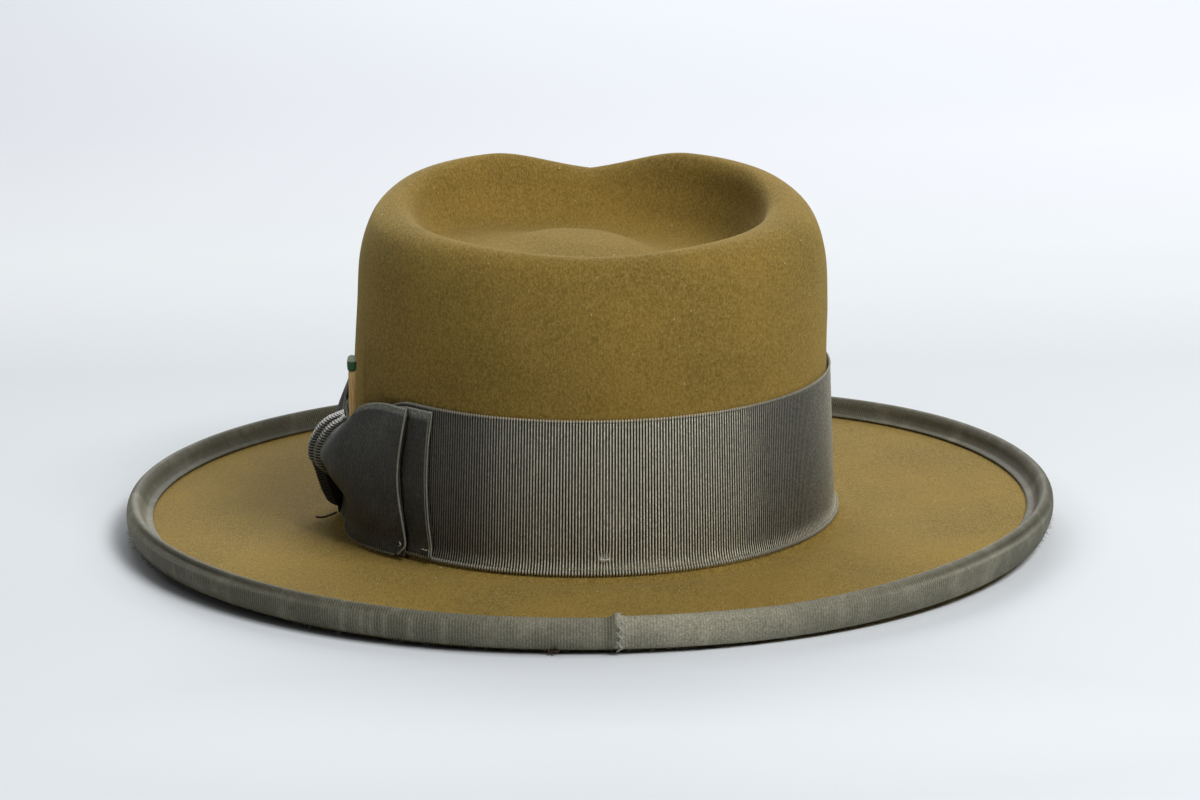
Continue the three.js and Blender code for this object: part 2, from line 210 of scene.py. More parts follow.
# A smooth line through a few points: cubic spans, with each point's slope weighted by the spans' lengths, and
# a number of steps for each span or one for all
def smoothLine(points, steps):
    points = np.asarray(points, float)
    chord = np.linalg.norm(np.diff(points, axis=0), axis=-1)
    chord = chord.reshape(len(chord), -1).mean(1)
    span = chord.reshape((-1,) + (1,) * (points.ndim - 1))
    slope = np.diff(points, axis=0) / span
    inner = (slope[:-1] * span[1:] + slope[1:] * span[:-1]) / (span[:-1] + span[1:])
    tangent = np.concatenate([slope[:1], inner, slope[-1:]])
    parts = []
    for index, count in enumerate(np.broadcast_to(steps, len(points) - 1)):
        f = (np.arange(count) / count).reshape((-1,) + (1,) * (points.ndim - 1))
        start, end = points[index], points[index + 1]
        startTurn, endTurn = tangent[index] * span[index], tangent[index + 1] * span[index]
        parts.append(
            start * (2 * f**3 - 3 * f**2 + 1)
            + startTurn * (f**3 - 2 * f**2 + f)
            + end * (3 * f**2 - 2 * f**3)
            + endTurn * (f**3 - f**2)
        )
    return np.concatenate(parts + [points[-1:]])


# The faces of a grid of points whose rows close on themselves, and each face corner's row and column, counted
# past the seam. In a ring, the last row joins the first.
def gridFaces(rows, columns, ring=False):
    row, column = np.meshgrid(np.arange(rows if ring else rows - 1), np.arange(columns), indexing="ij")
    row, column = row.ravel(), column.ravel()
    cornerRows = np.stack([row, row, row + 1, row + 1], -1)
    cornerColumns = np.stack([column, column + 1, column + 1, column], -1)
    return (cornerRows % rows) * columns + cornerColumns % columns, cornerRows, cornerColumns


# Six times the volume that a closed set of faces holds, below zero where they face inwards
def heldVolume(points, faces):
    a, b, c, d = (points[faces[:, k]] for k in range(4))
    return np.einsum("ij,ij->", a, np.cross(b, c)) + np.einsum("ij,ij->", a, np.cross(c, d))


# Puts points, in millimetres, and faces into a mesh object that rides with the hat, with rib numbers as its
# UV map and, at each point, a share that holds wear and painted light and shade
def addPiece(name, points, faces, material, uv=None, replaced=(), wear=None):
    mesh = bpy.data.meshes.new(name)
    mesh.from_pydata((points * metresPerMm).tolist(), [], faces)
    mesh.polygons.foreach_set("use_smooth", np.ones(len(mesh.polygons), bool))
    if uv is not None:
        layer = mesh.uv_layers.new(name="ribs")
        layer.data.foreach_set("uv", np.asarray(uv, np.float32).ravel())
        values = np.zeros(len(mesh.vertices), np.float32) if wear is None else np.asarray(wear, np.float32)
        mesh.attributes.new("wear", "FLOAT", "POINT").data.foreach_set("value", values)
    mesh.materials.append(material)
    mesh.update()
    piece = bpy.data.objects.new(name, mesh)
    bpy.context.scene.collection.objects.link(piece)
    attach(piece, "root")
    if replaced:
        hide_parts(*replaced)
    return piece


# A closed piece from a grid of sections. Each section is a loop. The sections close in a ring, or the two
# end sections are capped between their outer and inner halves.
def addLoops(name, grid, material, ring, uvGrid, replaced=(), wear=None):
    rows, columns = grid.shape[:2]
    points = grid.reshape(-1, 3)
    faces, cornerRows, cornerColumns = gridFaces(rows, columns, ring)
    uv = uvGrid[cornerRows, cornerColumns]
    if not ring:
        near = np.arange(columns // 2 - 1)
        far = columns - 1 - near
        firstCap = np.stack([near, near + 1, far - 1, far], -1)
        lastCap = (rows - 1) * columns + np.stack([near + 1, near, far, far - 1], -1)
        faces = np.concatenate([faces, firstCap, lastCap])
        flatGrid = uvGrid[:, :columns].reshape(-1, 2)
        uv = np.concatenate([uv, flatGrid[firstCap], flatGrid[lastCap]])
    if heldVolume(points, faces) < 0:
        faces, uv = faces[:, ::-1], uv[:, ::-1]
    return addPiece(name, points, faces.tolist(), material, uv, replaced, wear)


# The wall and end faces of many equal tubes, each some rings of points, and whether they were turned over to
# face outwards
def tubeFaces(tubes, rings, sides):
    faces = gridFaces(rings, sides)[0]
    starts = np.arange(len(tubes))[:, None, None] * rings * sides
    walls = (faces[None] + starts).reshape(-1, 4)
    side = np.arange(sides)
    firstCaps = side[::-1][None] + starts[:, :, 0]
    lastCaps = (rings - 1) * sides + side[None] + starts[:, :, 0]
    caps = np.concatenate([firstCaps, lastCaps])
    turned = heldVolume(tubes[0], faces) < 0
    if turned:
        walls, caps = walls[:, ::-1], caps[:, ::-1]
    return walls, caps, turned


# The length of thread, in millimetres, in which its twist turns once
threadTwist = 0.4


# Tubes: a circle carried along each of several lines of the same number of points, with rounded ends where
# the radii shrink. A tube's rib number is its length over the thread's twist.
def addTubes(name, lines, radii, sides, material):
    lines = np.asarray(lines, float)
    count, steps = lines.shape[:2]
    along = unit(np.gradient(lines, axis=1))
    helper = np.where(np.abs(along[..., 2:3]) > 0.9, np.array([1.0, 0, 0]), np.array([0, 0, 1.0]))
    sideways = unit(np.cross(along, helper))
    upwards = np.cross(sideways, along)
    turn = 2 * np.pi * np.arange(sides) / sides
    circle = sideways[:, :, None] * np.cos(turn)[:, None] + upwards[:, :, None] * np.sin(turn)[:, None]
    points = lines[:, :, None] + circle * np.broadcast_to(radii, (count, steps))[..., None, None]
    points = points.reshape(count, -1, 3)
    walls, caps, turned = tubeFaces(points, steps, sides)
    cornerRows, cornerColumns = gridFaces(steps, sides)[1:]
    length = np.linalg.norm(np.diff(lines, axis=1), axis=-1).mean() * np.arange(steps)
    wallUv = np.stack([length[cornerRows] / threadTwist, cornerColumns / sides], -1)
    if turned:
        wallUv = wallUv[:, ::-1]
    uv = np.concatenate([np.tile(wallUv.reshape(-1, 2), (count, 1)), np.zeros((caps.size, 2))])
    return addPiece(name, points.reshape(-1, 3), walls.tolist() + caps.tolist(), material, uv)


# Radii of a tube whose ends are rounded over their last steps, as a quarter circle that starts a little in
def roundedRadii(steps, radius, endSteps=2, firstStep=0.25):
    place = np.arange(steps)
    fromEnd = np.minimum(place, steps - 1 - place)
    share = np.clip((fromEnd + firstStep) / endSteps, 0, 1)
    return radius * np.sqrt(1 - (1 - share) ** 2)


# Beads: a small egg at each centre, with its three half axes given as vectors
def addBeads(name, centres, axes, material, wear=0.0, rings=5, sides=8):
    polar = np.pi * (np.arange(rings)[:, None] + 0.5) / rings
    turn = 2 * np.pi * np.arange(sides) / sides
    egg = stacked(np.sin(polar) * np.cos(turn), np.sin(polar) * np.sin(turn), np.cos(polar)).reshape(-1, 3)
    points = centres[:, None] + np.einsum("pk,nkj->npj", egg, axes)
    walls, caps, _ = tubeFaces(points, rings, sides)
    uv = np.zeros((walls.size + caps.size, 2))
    worn = np.repeat(np.broadcast_to(wear, len(centres)), rings * sides)
    faces = walls.tolist() + caps.tolist()
    return addPiece(name, points.reshape(-1, 3), faces, material, uv, wear=worn)


# A closed piece from rings of points, with one flat face at each end
def addCapped(name, grid, material, replaced):
    rings, sides = grid.shape[:2]
    points = grid.reshape(-1, 3)
    walls, caps, _ = tubeFaces(points[None], rings, sides)
    return addPiece(name, points, walls.tolist() + caps.tolist(), material, replaced=replaced)


# Points at even distances along a line
def evenPoints(line, pitch):
    length = lengthsAlong(line)
    wanted = np.arange(pitch / 2, length[-1], pitch)
    return np.stack([np.interp(wanted, length, line[:, k]) for k in range(3)], -1)


# Half axes of beads along a line: along it, upwards and outwards
def beadAxes(centres, sizes):
    along = unit(np.gradient(centres, axis=0))
    outwards = unit(centres * np.array([1.0, 1.0, 0.0]))
    upwards = unit(np.cross(outwards, along))
    return np.stack([along * sizes[0], upwards * sizes[1], unit(np.cross(along, upwards)) * sizes[2]], 1)


# A node in a shader tree, with its settings made and its inputs set or linked by name or number
def addNode(tree, kind, inputs=None, **settings):
    made = tree.nodes.new(kind)
    for key, value in settings.items():
        setattr(made, key, value)
    for key, value in (inputs or {}).items():
        if isinstance(value, bpy.types.NodeSocket):
            tree.links.new(value, made.inputs[key])
        else:
            made.inputs[key].default_value = value
    return made


# The first value with the second, as the operation says
def addMath(tree, operation, first, second=0.0, clamp=False):
    inputs = {0: first, 1: second}
    return addNode(tree, "ShaderNodeMath", inputs, operation=operation, use_clamp=clamp).outputs[0]


# A share of the first value and the rest of the second
def addBlend(tree, share, first, second):
    part = addMath(tree, "MULTIPLY", first, share)
    return addMath(tree, "ADD", part, addMath(tree, "MULTIPLY", second, 1 - share))


# The colour a share of the way from the first to the second
def addMix(tree, share, first, second):
    return addNode(tree, "ShaderNodeMix", {0: share, 6: first, 7: second}, data_type="RGBA").outputs[2]


# A colour scaled by a share
def addScaled(tree, colour, share):
    return addNode(tree, "ShaderNodeVectorMath", {0: colour, "Scale": share}, operation="SCALE").outputs[0]


# A value carried from one range to another and held at its ends
def addRange(tree, value, fromLow, fromHigh, toLow=0.0, toHigh=1.0):
    inputs = {"Value": value, "From Min": fromLow, "From Max": fromHigh, "To Min": toLow, "To Max": toHigh}
    return addNode(tree, "ShaderNodeMapRange", inputs, clamp=True).outputs[0]


# Noise of a scale, a detail and a roughness
def addNoise(tree, vector, scale, detail, roughness):
    inputs = {"Vector": vector, "Scale": scale, "Detail": detail, "Roughness": roughness}
    return addNode(tree, "ShaderNodeTexNoise", inputs).outputs[0]


# Object coordinates, whole and split into X, Y and Z
def addPlace(tree):
    place = addNode(tree, "ShaderNodeTexCoord").outputs["Object"]
    return place, addNode(tree, "ShaderNodeSeparateXYZ", {0: place}).outputs


# Raises a shader's surface by a height over a distance in metres
def addBump(tree, shader, height, strength, distance):
    bump = addNode(tree, "ShaderNodeBump", {"Strength": strength, "Distance": distance, "Height": height})
    tree.links.new(bump.outputs[0], shader.inputs["Normal"])


# sRGB bytes as a linear colour
def paint(red, green, blue):
    share = np.array([red, green, blue]) / 255
    linear = np.where(share <= 0.04045, share / 12.92, ((share + 0.055) / 1.055) ** 2.4)
    return (*linear.tolist(), 1.0)


# A group that takes vectors, colours and numbers by name, and puts out a colour and a height
def newGroup(name, vectors, colours, numbers):
    group = bpy.data.node_groups.new(name, "ShaderNodeTree")
    wanted = {"NodeSocketVector": vectors, "NodeSocketColor": colours, "NodeSocketFloat": numbers}
    for kind, labels in wanted.items():
        for label in labels:
            group.interface.new_socket(label, in_out="INPUT", socket_type=kind)
    group.interface.new_socket("Color", in_out="OUTPUT", socket_type="NodeSocketColor")
    group.interface.new_socket("Height", in_out="OUTPUT", socket_type="NodeSocketFloat")
    return group, addNode(group, "NodeGroupInput").outputs, addNode(group, "NodeGroupOutput").inputs


# A new material with its node tree and its shader
def newMaterial(name, roughness, specular):
    material = bpy.data.materials.new(name)
    material.use_nodes = True
    tree = material.node_tree
    shader = tree.nodes["Principled BSDF"]
    shader.inputs["Roughness"].default_value = roughness
    shader.inputs["Specular IOR Level"].default_value = specular
    return material, tree, shader


# The felt's pattern: noises as scale, detail and roughness, and the ranges of them that become colour. The
# fibres are drawn out towards the back, and a little upwards.
napPattern = {
    "drawnOut": (1.0, 0.3, 0.6),
    "patches": (20.0, 3.0, 0.5),
    "mottle": (260.0, 3.0, 0.6),
    "nap": (1450.0, 2.0, 0.7),
    "fibre": (3000.0, 2.0, 0.8),
    "speck": (1150.0, 1.0, 0.5),
    "patchShare": 0.8,
    "napShare": 0.5,
    "wideRange": (0.32, 0.68),
    "fineRange": (0.39, 0.63),
    "speckRange": (0.755, 0.8, 0.0, 0.45),
}


# Brushed felt, all from noise in the hat's own coordinates: wide patches and mottling between the deep and
# the middle colour, fine nap towards the pale one, and sparse pale specks
def makeNapGroup():
    group, given, result = newGroup("brushedNap", ["Position"], ["Deep", "Middle", "Pale", "Speck"], ["Nap"])
    mapping = {"Vector": given["Position"], "Scale": napPattern["drawnOut"]}
    fibres = addNode(group, "ShaderNodeMapping", mapping).outputs[0]
    patches = addNoise(group, given["Position"], *napPattern["patches"])
    mottle = addNoise(group, given["Position"], *napPattern["mottle"])
    wide = addBlend(group, napPattern["patchShare"], patches, mottle)
    wide = addMix(group, addRange(group, wide, *napPattern["wideRange"]), given["Deep"], given["Middle"])
    nap = addNoise(group, fibres, *napPattern["nap"])
    fine = addBlend(group, napPattern["napShare"], nap, addNoise(group, fibres, *napPattern["fibre"]))
    share = addMath(group, "MULTIPLY", addRange(group, fine, *napPattern["fineRange"]), given["Nap"])
    napped = addMix(group, share, wide, given["Pale"])
    specks = addRange(group, addNoise(group, fibres, *napPattern["speck"]), *napPattern["speckRange"])
    group.links.new(addMix(group, specks, napped, given["Speck"]), result["Color"])
    group.links.new(fine, result["Height"])
    return group


# The ribbons' pattern: threads in a millimetre across the ribs, noises as scale, detail and roughness, shares
# of the height, and ranges of rib, noise and shade
ribPattern = {
    "threads": 2.6,
    "fibre": (2400.0, 2.0, 0.7),
    "patches": (70.0, 3.0, 0.6),
    "grain": (1050.0, 2.0, 0.6),
    "threadHeight": 0.12,
    "fibreHeight": 0.3,
    "ribRange": (0.46, 0.84),
    "patchRange": (0.5, 0.72),
    "rubbedRange": (0.3, 0.7, 0.7, 1.3),
    "shadeRange": (0.3, 0.7, 0.72, 1.26),
    "grainRange": (0.34, 0.66, -1.0, 1.0),
}


# Ribbed ribbon: rounded ribs by the cosine of the rib number, crossed by fine threads, with worn patches and
# a grain. The wear-and-shade share adds wear where it is above 0, and below 0 it darkens as painted shade.
def makeRibGroup():
    colours, numbers = ["Groove", "Top", "Worn"], ["Wear", "WearAndShade", "Grain"]
    group, given, result = newGroup("ribbedRibbon", ["Ribs", "Position"], colours, numbers)
    split = addNode(group, "ShaderNodeSeparateXYZ", {0: given["Ribs"]}).outputs
    cosine = addMath(group, "COSINE", addMath(group, "MULTIPLY", split["X"], 2 * math.pi))
    rib = addNode(group, "ShaderNodeMath", {0: cosine, 1: 0.5, 2: 0.5}, operation="MULTIPLY_ADD").outputs[0]
    threadTurns = addMath(group, "MULTIPLY", split["Y"], 2 * math.pi * ribPattern["threads"])
    thread = addMath(group, "MULTIPLY", addMath(group, "COSINE", threadTurns), ribPattern["threadHeight"])
    fibre = addNoise(group, given["Position"], *ribPattern["fibre"])
    patches = addNoise(group, given["Position"], *ribPattern["patches"])
    height = addMath(group, "ADD", rib, thread)
    height = addMath(group, "ADD", height, addMath(group, "MULTIPLY", fibre, ribPattern["fibreHeight"]))
    ribbed = addMix(group, addRange(group, rib, *ribPattern["ribRange"]), given["Groove"], given["Top"])
    wornShare = addMath(group, "MULTIPLY", addRange(group, patches, *ribPattern["patchRange"]), given["Wear"])
    lighter = addMath(group, "MAXIMUM", given["WearAndShade"], 0.0)
    rubbed = addMath(group, "MULTIPLY", lighter, addRange(group, fibre, *ribPattern["rubbedRange"]))
    worn = addMix(group, addMath(group, "ADD", wornShare, rubbed, clamp=True), ribbed, given["Worn"])
    # Painted shade: a share below 0 darkens the colour
    darker = addMath(group, "ADD", addMath(group, "MINIMUM", given["WearAndShade"], 0.0), 1.0)
    shade = addMath(group, "MULTIPLY", addRange(group, fibre, *ribPattern["shadeRange"]), darker)
    grain = addNoise(group, given["Position"], *ribPattern["grain"])
    grain = addMath(group, "MULTIPLY", addRange(group, grain, *ribPattern["grainRange"]), given["Grain"])
    shade = addMath(group, "MULTIPLY", shade, addMath(group, "ADD", grain, 1.0))
    group.links.new(addScaled(group, worn, shade), result["Color"])
    group.links.new(height, result["Height"])
    return group


napGroup = makeNapGroup()
ribGroup = makeRibGroup()

# The felt's finish. Heights, sides and the bump's distance are metres: the brim's nap changes to the crown's
# over the brim's heights, the colour is darkened by painted shade near the surface below it, away from the
# right side, and made paler by a painted highlight on the crown's high ridges.
feltFinish = {
    "deep": paint(93, 75, 27),
    "middle": paint(127, 100, 36),
    "pale": paint(177, 149, 82),
    "speck": paint(216, 204, 168),
    "nap": 0.55,
    "brimNap": 0.56,
    "brimHeights": (0.007, 0.012),
    "bump": 0.55,
    "bumpDistance": 0.0006,
    "roughness": 0.95,
    "specular": 0.15,
    "sheen": {"Sheen Weight": 0.35, "Sheen Roughness": 0.5, "Sheen Tint": paint(220, 200, 130)},
    "paintedShadeHeights": (0.0006, 0.0028),
    "paintedShadeSides": (0.0, -0.1),
    "paintedShadeShare": 0.1,
    "paintedHighlightHeights": (0.1015, 0.109),
    "wornShare": 1.07,
}


# The felt's material: the nap, its colour times its unshaded share and its painted highlight, and a sheen
def makeFeltMaterial():
    material, tree, shader = newMaterial("oliveFelt", feltFinish["roughness"], feltFinish["specular"])
    for socket, value in feltFinish["sheen"].items():
        shader.inputs[socket].default_value = value
    place, split = addPlace(tree)
    given = {name.capitalize(): feltFinish[name] for name in ("deep", "middle", "pale", "speck")}
    given["Position"] = place
    shares = feltFinish["brimNap"], feltFinish["nap"]
    given["Nap"] = addRange(tree, split["Z"], *feltFinish["brimHeights"], *shares)
    nap = addNode(tree, "ShaderNodeGroup", given, node_tree=napGroup).outputs
    # Painted shade: the felt is darkened near the surface the hat stands on, less so towards the right side
    deepestShade = feltFinish["paintedShadeShare"]
    unshadedShare = addRange(tree, split["Z"], *feltFinish["paintedShadeHeights"], deepestShade)
    unshadedShare = addMath(tree, "MAXIMUM", unshadedShare, addRange(tree, split["X"], *feltFinish["paintedShadeSides"], deepestShade))
    # Painted highlight: the felt is made paler on the crown's high ridges
    worn = addRange(tree, split["Z"], *feltFinish["paintedHighlightHeights"], 1.0, feltFinish["wornShare"])
    shaded = addScaled(tree, nap["Color"], addMath(tree, "MULTIPLY", unshadedShare, worn))
    tree.links.new(shaded, shader.inputs["Base Color"])
    addBump(tree, shader, nap["Height"], feltFinish["bump"], feltFinish["bumpDistance"])
    return material


# The ribbons' and threads' finishes: colours as sRGB bytes in the grooves, on the ribs' tops and where worn,
# and the shares that differ from the usual ones
usualRibbon = {
    "wear": 0.5,
    "roughness": 0.6,
    "specular": 0.4,
    "bump": 0.3,
    "bumpDistance": 0.0004,
    "grain": 0.1,
}
ribbonFinishes = {
    # Painted shade and highlight: the band's near-black grooves and bright rib tops
    "bandRibbon": {
        "groove": (12, 11, 6),
        "top": (222, 218, 195),
        "worn": (177, 173, 150),
        "wear": 0.1,
        "roughness": 0.5,
        "specular": 0.5,
        "grain": 0.26,
    },
    "knotRibbon": {
        "groove": (22, 22, 16),
        "top": (142, 140, 126),
        "worn": (150, 148, 134),
        "wear": 0.2,
        "roughness": 0.5,
    },
    "bowRibbon": {
        "groove": (47, 47, 42),
        "top": (66, 66, 60),
        "worn": (132, 133, 122),
        "wear": 0.14,
        "roughness": 0.55,
        "bump": 0.35,
        "grain": 0.42,
    },
    # Painted shade: the near-black ribbon that fills the knot's hollow
    "shadedHollowRibbon": {
        "groove": (16, 15, 12),
        "top": (24, 22, 18),
        "worn": (30, 28, 24),
        "wear": 0.1,
        "roughness": 0.9,
        "specular": 0.1,
        "bump": 0.1,
    },
    "edgeRibbon": {
        "groove": (84, 82, 68),
        "top": (112, 110, 92),
        "worn": (158, 154, 134),
        "wear": 0.35,
        "roughness": 0.7,
        "specular": 0.3,
        "grain": 0.12,
    },
    "foldEdge": {
        "groove": (134, 134, 122),
        "top": (150, 150, 138),
        "worn": (166, 166, 154),
        "wear": 0.4,
        "specular": 0.3,
        "bump": 0.2,
    },
    "bowLoop": {
        "groove": (128, 129, 116),
        "top": (142, 143, 130),
        "worn": (158, 158, 146),
        "roughness": 0.7,
        "specular": 0.3,
    },
    "bandLoop": {"groove": (176, 172, 154), "top": (192, 188, 170), "worn": (204, 200, 184)},
    "edgeLoop": {"groove": (100, 99, 86), "top": (118, 117, 102), "worn": (140, 140, 128)},
    "paleThread": {
        "groove": (186, 186, 178),
        "top": (206, 206, 198),
        "worn": (214, 214, 206),
        "wear": 0.3,
        "bump": 0.2,
    },
    "seamThread": {"groove": (148, 147, 134), "top": (170, 169, 155), "worn": (190, 189, 175)},
    "darkThread": {
        "groove": (70, 56, 44),
        "top": (92, 74, 58),
        "worn": (112, 92, 76),
        "wear": 0.3,
        "roughness": 0.7,
        "specular": 0.3,
        "bump": 0.2,
    },
}


# A ribbon's or a thread's material, with its ribs along its UV map and its share of wear and painted shade
# from each point
def makeRibbonMaterial(name):
    finish = usualRibbon | ribbonFinishes[name]
    material, tree, shader = newMaterial(name, finish["roughness"], finish["specular"])
    given = {colour.capitalize(): paint(*finish[colour]) for colour in ("groove", "top", "worn")}
    given["Ribs"] = addNode(tree, "ShaderNodeUVMap", uv_map="ribs").outputs[0]
    given["Position"] = addNode(tree, "ShaderNodeTexCoord").outputs["Object"]
    given["WearAndShade"] = addNode(tree, "ShaderNodeAttribute", attribute_name="wear").outputs["Fac"]
    given["Wear"] = finish["wear"]
    given["Grain"] = finish["grain"]
    weave = addNode(tree, "ShaderNodeGroup", given, node_tree=ribGroup).outputs
    tree.links.new(weave["Color"], shader.inputs["Base Color"])
    addBump(tree, shader, weave["Height"], finish["bump"], finish["bumpDistance"])
    return material


feltMaterial = makeFeltMaterial()
ribbonMaterials = {name: makeRibbonMaterial(name) for name in ribbonFinishes}
print("materials made")


# Rings round the hat, one for each pair of an inset from the brim's edge and a height
def brimRings(angle, pairs):
    inset, height = np.asarray(pairs, float).T[..., None]
    return brimPoint(angle, inset, height)


# The same for pairs of a distance out from the head oval and a height
def filletRings(angle, pairs):
    out, height = np.asarray(pairs, float).T[..., None]
    return brimPoint(angle, brimReach(angle) - out, height)


# The felt: a section that runs from the dent's middle down the crown and the brim's top, round the rolled
# edge and back inside, carried round the oval, with a point at both ends
def makeFelt():
    columns = felt["columns"]
    angle = 2 * np.pi * np.arange(columns) / columns
    outsideLevels = np.concatenate([np.linspace(*span, endpoint=False) for span in felt["outsideLevels"]])
    insideLevels = np.linspace(0, len(felt["crown"]) - 1, felt["insideSteps"])[:, None]
    control = np.concatenate(
        [
            crownPoint(angle, np.zeros((1, 1))),
            filletRings(angle, felt["fillet"]),
            brimRings(angle, felt["brimTop"] + felt["edgeTop"] + felt["edgeOutside"]),
            brimRings(angle, felt["edgeUnder"] + felt["brimUnder"]),
            filletRings(angle, felt["filletUnder"]),
        ]
    )
    outside = crownPoint(angle, outsideLevels[:, None])
    edge = smoothLine(control, felt["sectionSteps"])
    inside = crownPoint(angle, insideLevels) - felt["thickness"] * crownNormal(angle, insideLevels)
    grid = np.concatenate([outside, edge, inside])
    body = grid[1:-1]
    rows = len(body)
    points = np.concatenate([body.reshape(-1, 3), grid[0, :1], grid[-1, :1]])
    faces = gridFaces(rows, columns)[0][:, ::-1]
    here = np.arange(columns)
    ahead = (here + 1) % columns
    firstPole = np.stack([here, ahead, np.full(columns, rows * columns)], -1)
    lastRow = (rows - 1) * columns
    lastPole = np.stack([lastRow + ahead, lastRow + here, np.full(columns, rows * columns + 1)], -1)
    allFaces = faces.tolist() + firstPole.tolist() + lastPole.tolist()
    return addPiece("felt_shell", points, allFaces, feltMaterial, replaced=("felt_body",))


makeFelt()
print("felt made")

# The ribbon on the brim's edge. Places across its section run from its inner edge, 0, over the top to its
# lower edge, 1. Its creases and puckers are bells: angle and spread in degrees, place across, and height in
# millimetres. Each crease carries a painted highlight on its ridge and painted shade in its groove. The hem
# is drawn down over the section's last stretch. The rubbed stretches are angle, spread and share of the worn
# colour.
edgeRibbon = {
    "gap": 0.15,
    "thickness": 0.75,
    "ribPitch": 1.0,
    "columns": 1440,
    "coveredSteps": [3, 4, 4, 4, 5, 5, 5, 5, 5],
    "innerSteps": 4,
    "edgeFade": 0.06,
    "closingStep": 0.8,
    "seam": {
        "angle": 91.0,
        "rise": 1.5,
        "width": 1.5,
        "lowShare": 0.25,
        "topPlace": 0.42,
        "topSpread": 0.2,
        "overlap": 0.35,
        "overlapStart": 0.5,
        "overlapTo": 104,
        "overlapFade": 8,
    },
    "creases": [
        {"angle": 34, "spread": 21, "place": 0.58, "width": 0.045, "height": 0.6},
        {"angle": 34, "spread": 21, "place": 0.5, "width": 0.05, "height": -0.4},
        {"angle": 147, "spread": 19, "place": 0.6, "width": 0.045, "height": 0.6},
        {"angle": 147, "spread": 19, "place": 0.52, "width": 0.05, "height": -0.4},
    ],
    "creasePaintedLight": 0.5,
    "puckers": [
        [59.0, 0.32], [61.6, 0.3], [62.8, 0.34], [64.4, 0.36], [67.6, 0.4], [71.5, 0.4], [100.8, 0.5],
    ],
    "puckerHeight": 0.26,
    "puckerFrom": 0.45,
    "puckerOver": 0.2,
    "puckerWear": 0.3,
    "hem": {"angle": 142, "spread": 26, "drop": 1.9, "from": 0.82, "over": 0.18},
    "rubbed": [
        [101, 13, 0.7],
        [8, 12, 0.34],
        [128, 16, 0.22],
        [78, 14, 0.2],
        [91.4, 1.1, 0.5],
        [322, 24, -0.12],
        [186, 14, -0.1],
        [34, 14, -0.12],
        [222, 24, 0.15],
    ],
    "shaded": {"angle": 90.2, "spread": 0.7, "share": -0.5},
}
wearLimits = (-0.8, 1)


# A line of inset and height pairs moved outwards by a distance, square to the line
def offsetLine(line, distance):
    line = np.asarray(line, float)
    index = np.arange(len(line))
    along = line[np.minimum(index + 1, len(line) - 1)] - line[np.maximum(index - 1, 0)]
    along = unit(along)
    return line + distance * np.stack([along[:, 1], -along[:, 0]], -1)


# The length round the hat to each of a ring's points and back to the first
def lengthRound(ring):
    return lengthsAlong(np.concatenate([ring, ring[:1]]))


# The line of inset and height pairs that the edge ribbon covers
def coveredLine():
    return smoothLine(felt["edgeTop"] + felt["edgeOutside"], edgeRibbon["coveredSteps"])


# How far the edge ribbon's face stands out beyond its even thickness, and how worn it is, by angle in degrees
# and place across
def edgeRelief(degrees, across):
    seam = edgeRibbon["seam"]
    aside = np.radians(degrees - seam["angle"]) * felt["brimOval"][1]
    top = bell(across - seam["topPlace"], seam["topSpread"])
    relief = seam["rise"] * bell(aside, seam["width"]) * (seam["lowShare"] + (1 - seam["lowShare"]) * top)
    lapEnd = easeStep((degrees - seam["overlapTo"]) / seam["overlapFade"])
    lap = easeStep(aside / seam["overlapStart"] + 0.5) * (1 - lapEnd)
    relief = relief + seam["overlap"] * np.where(degrees < 180, lap, 0)
    worn = np.zeros(np.broadcast(degrees, across).shape)
    for crease in edgeRibbon["creases"]:
        along = bell(degrees - crease["angle"], crease["spread"])
        ridge = bell(across - crease["place"], crease["width"])
        relief = relief + crease["height"] * along * ridge
        # Painted highlight on each crease's ridge and painted shade in its groove
        worn = worn + edgeRibbon["creasePaintedLight"] * along * ridge * np.sign(crease["height"])
    lower = easeStep((across - edgeRibbon["puckerFrom"]) / edgeRibbon["puckerOver"])
    for place, spread in edgeRibbon["puckers"]:
        pucker = bell(degrees - place, spread) * lower
        relief = relief + edgeRibbon["puckerHeight"] * pucker
        worn = worn + edgeRibbon["puckerWear"] * pucker
    for place, spread, share in edgeRibbon["rubbed"]:
        worn = worn + share * bell(degrees - place, spread)
    shaded = edgeRibbon["shaded"]
    worn = worn + shaded["share"] * bell(degrees - shaded["angle"], shaded["spread"])
    return relief, np.clip(worn, *wearLimits)


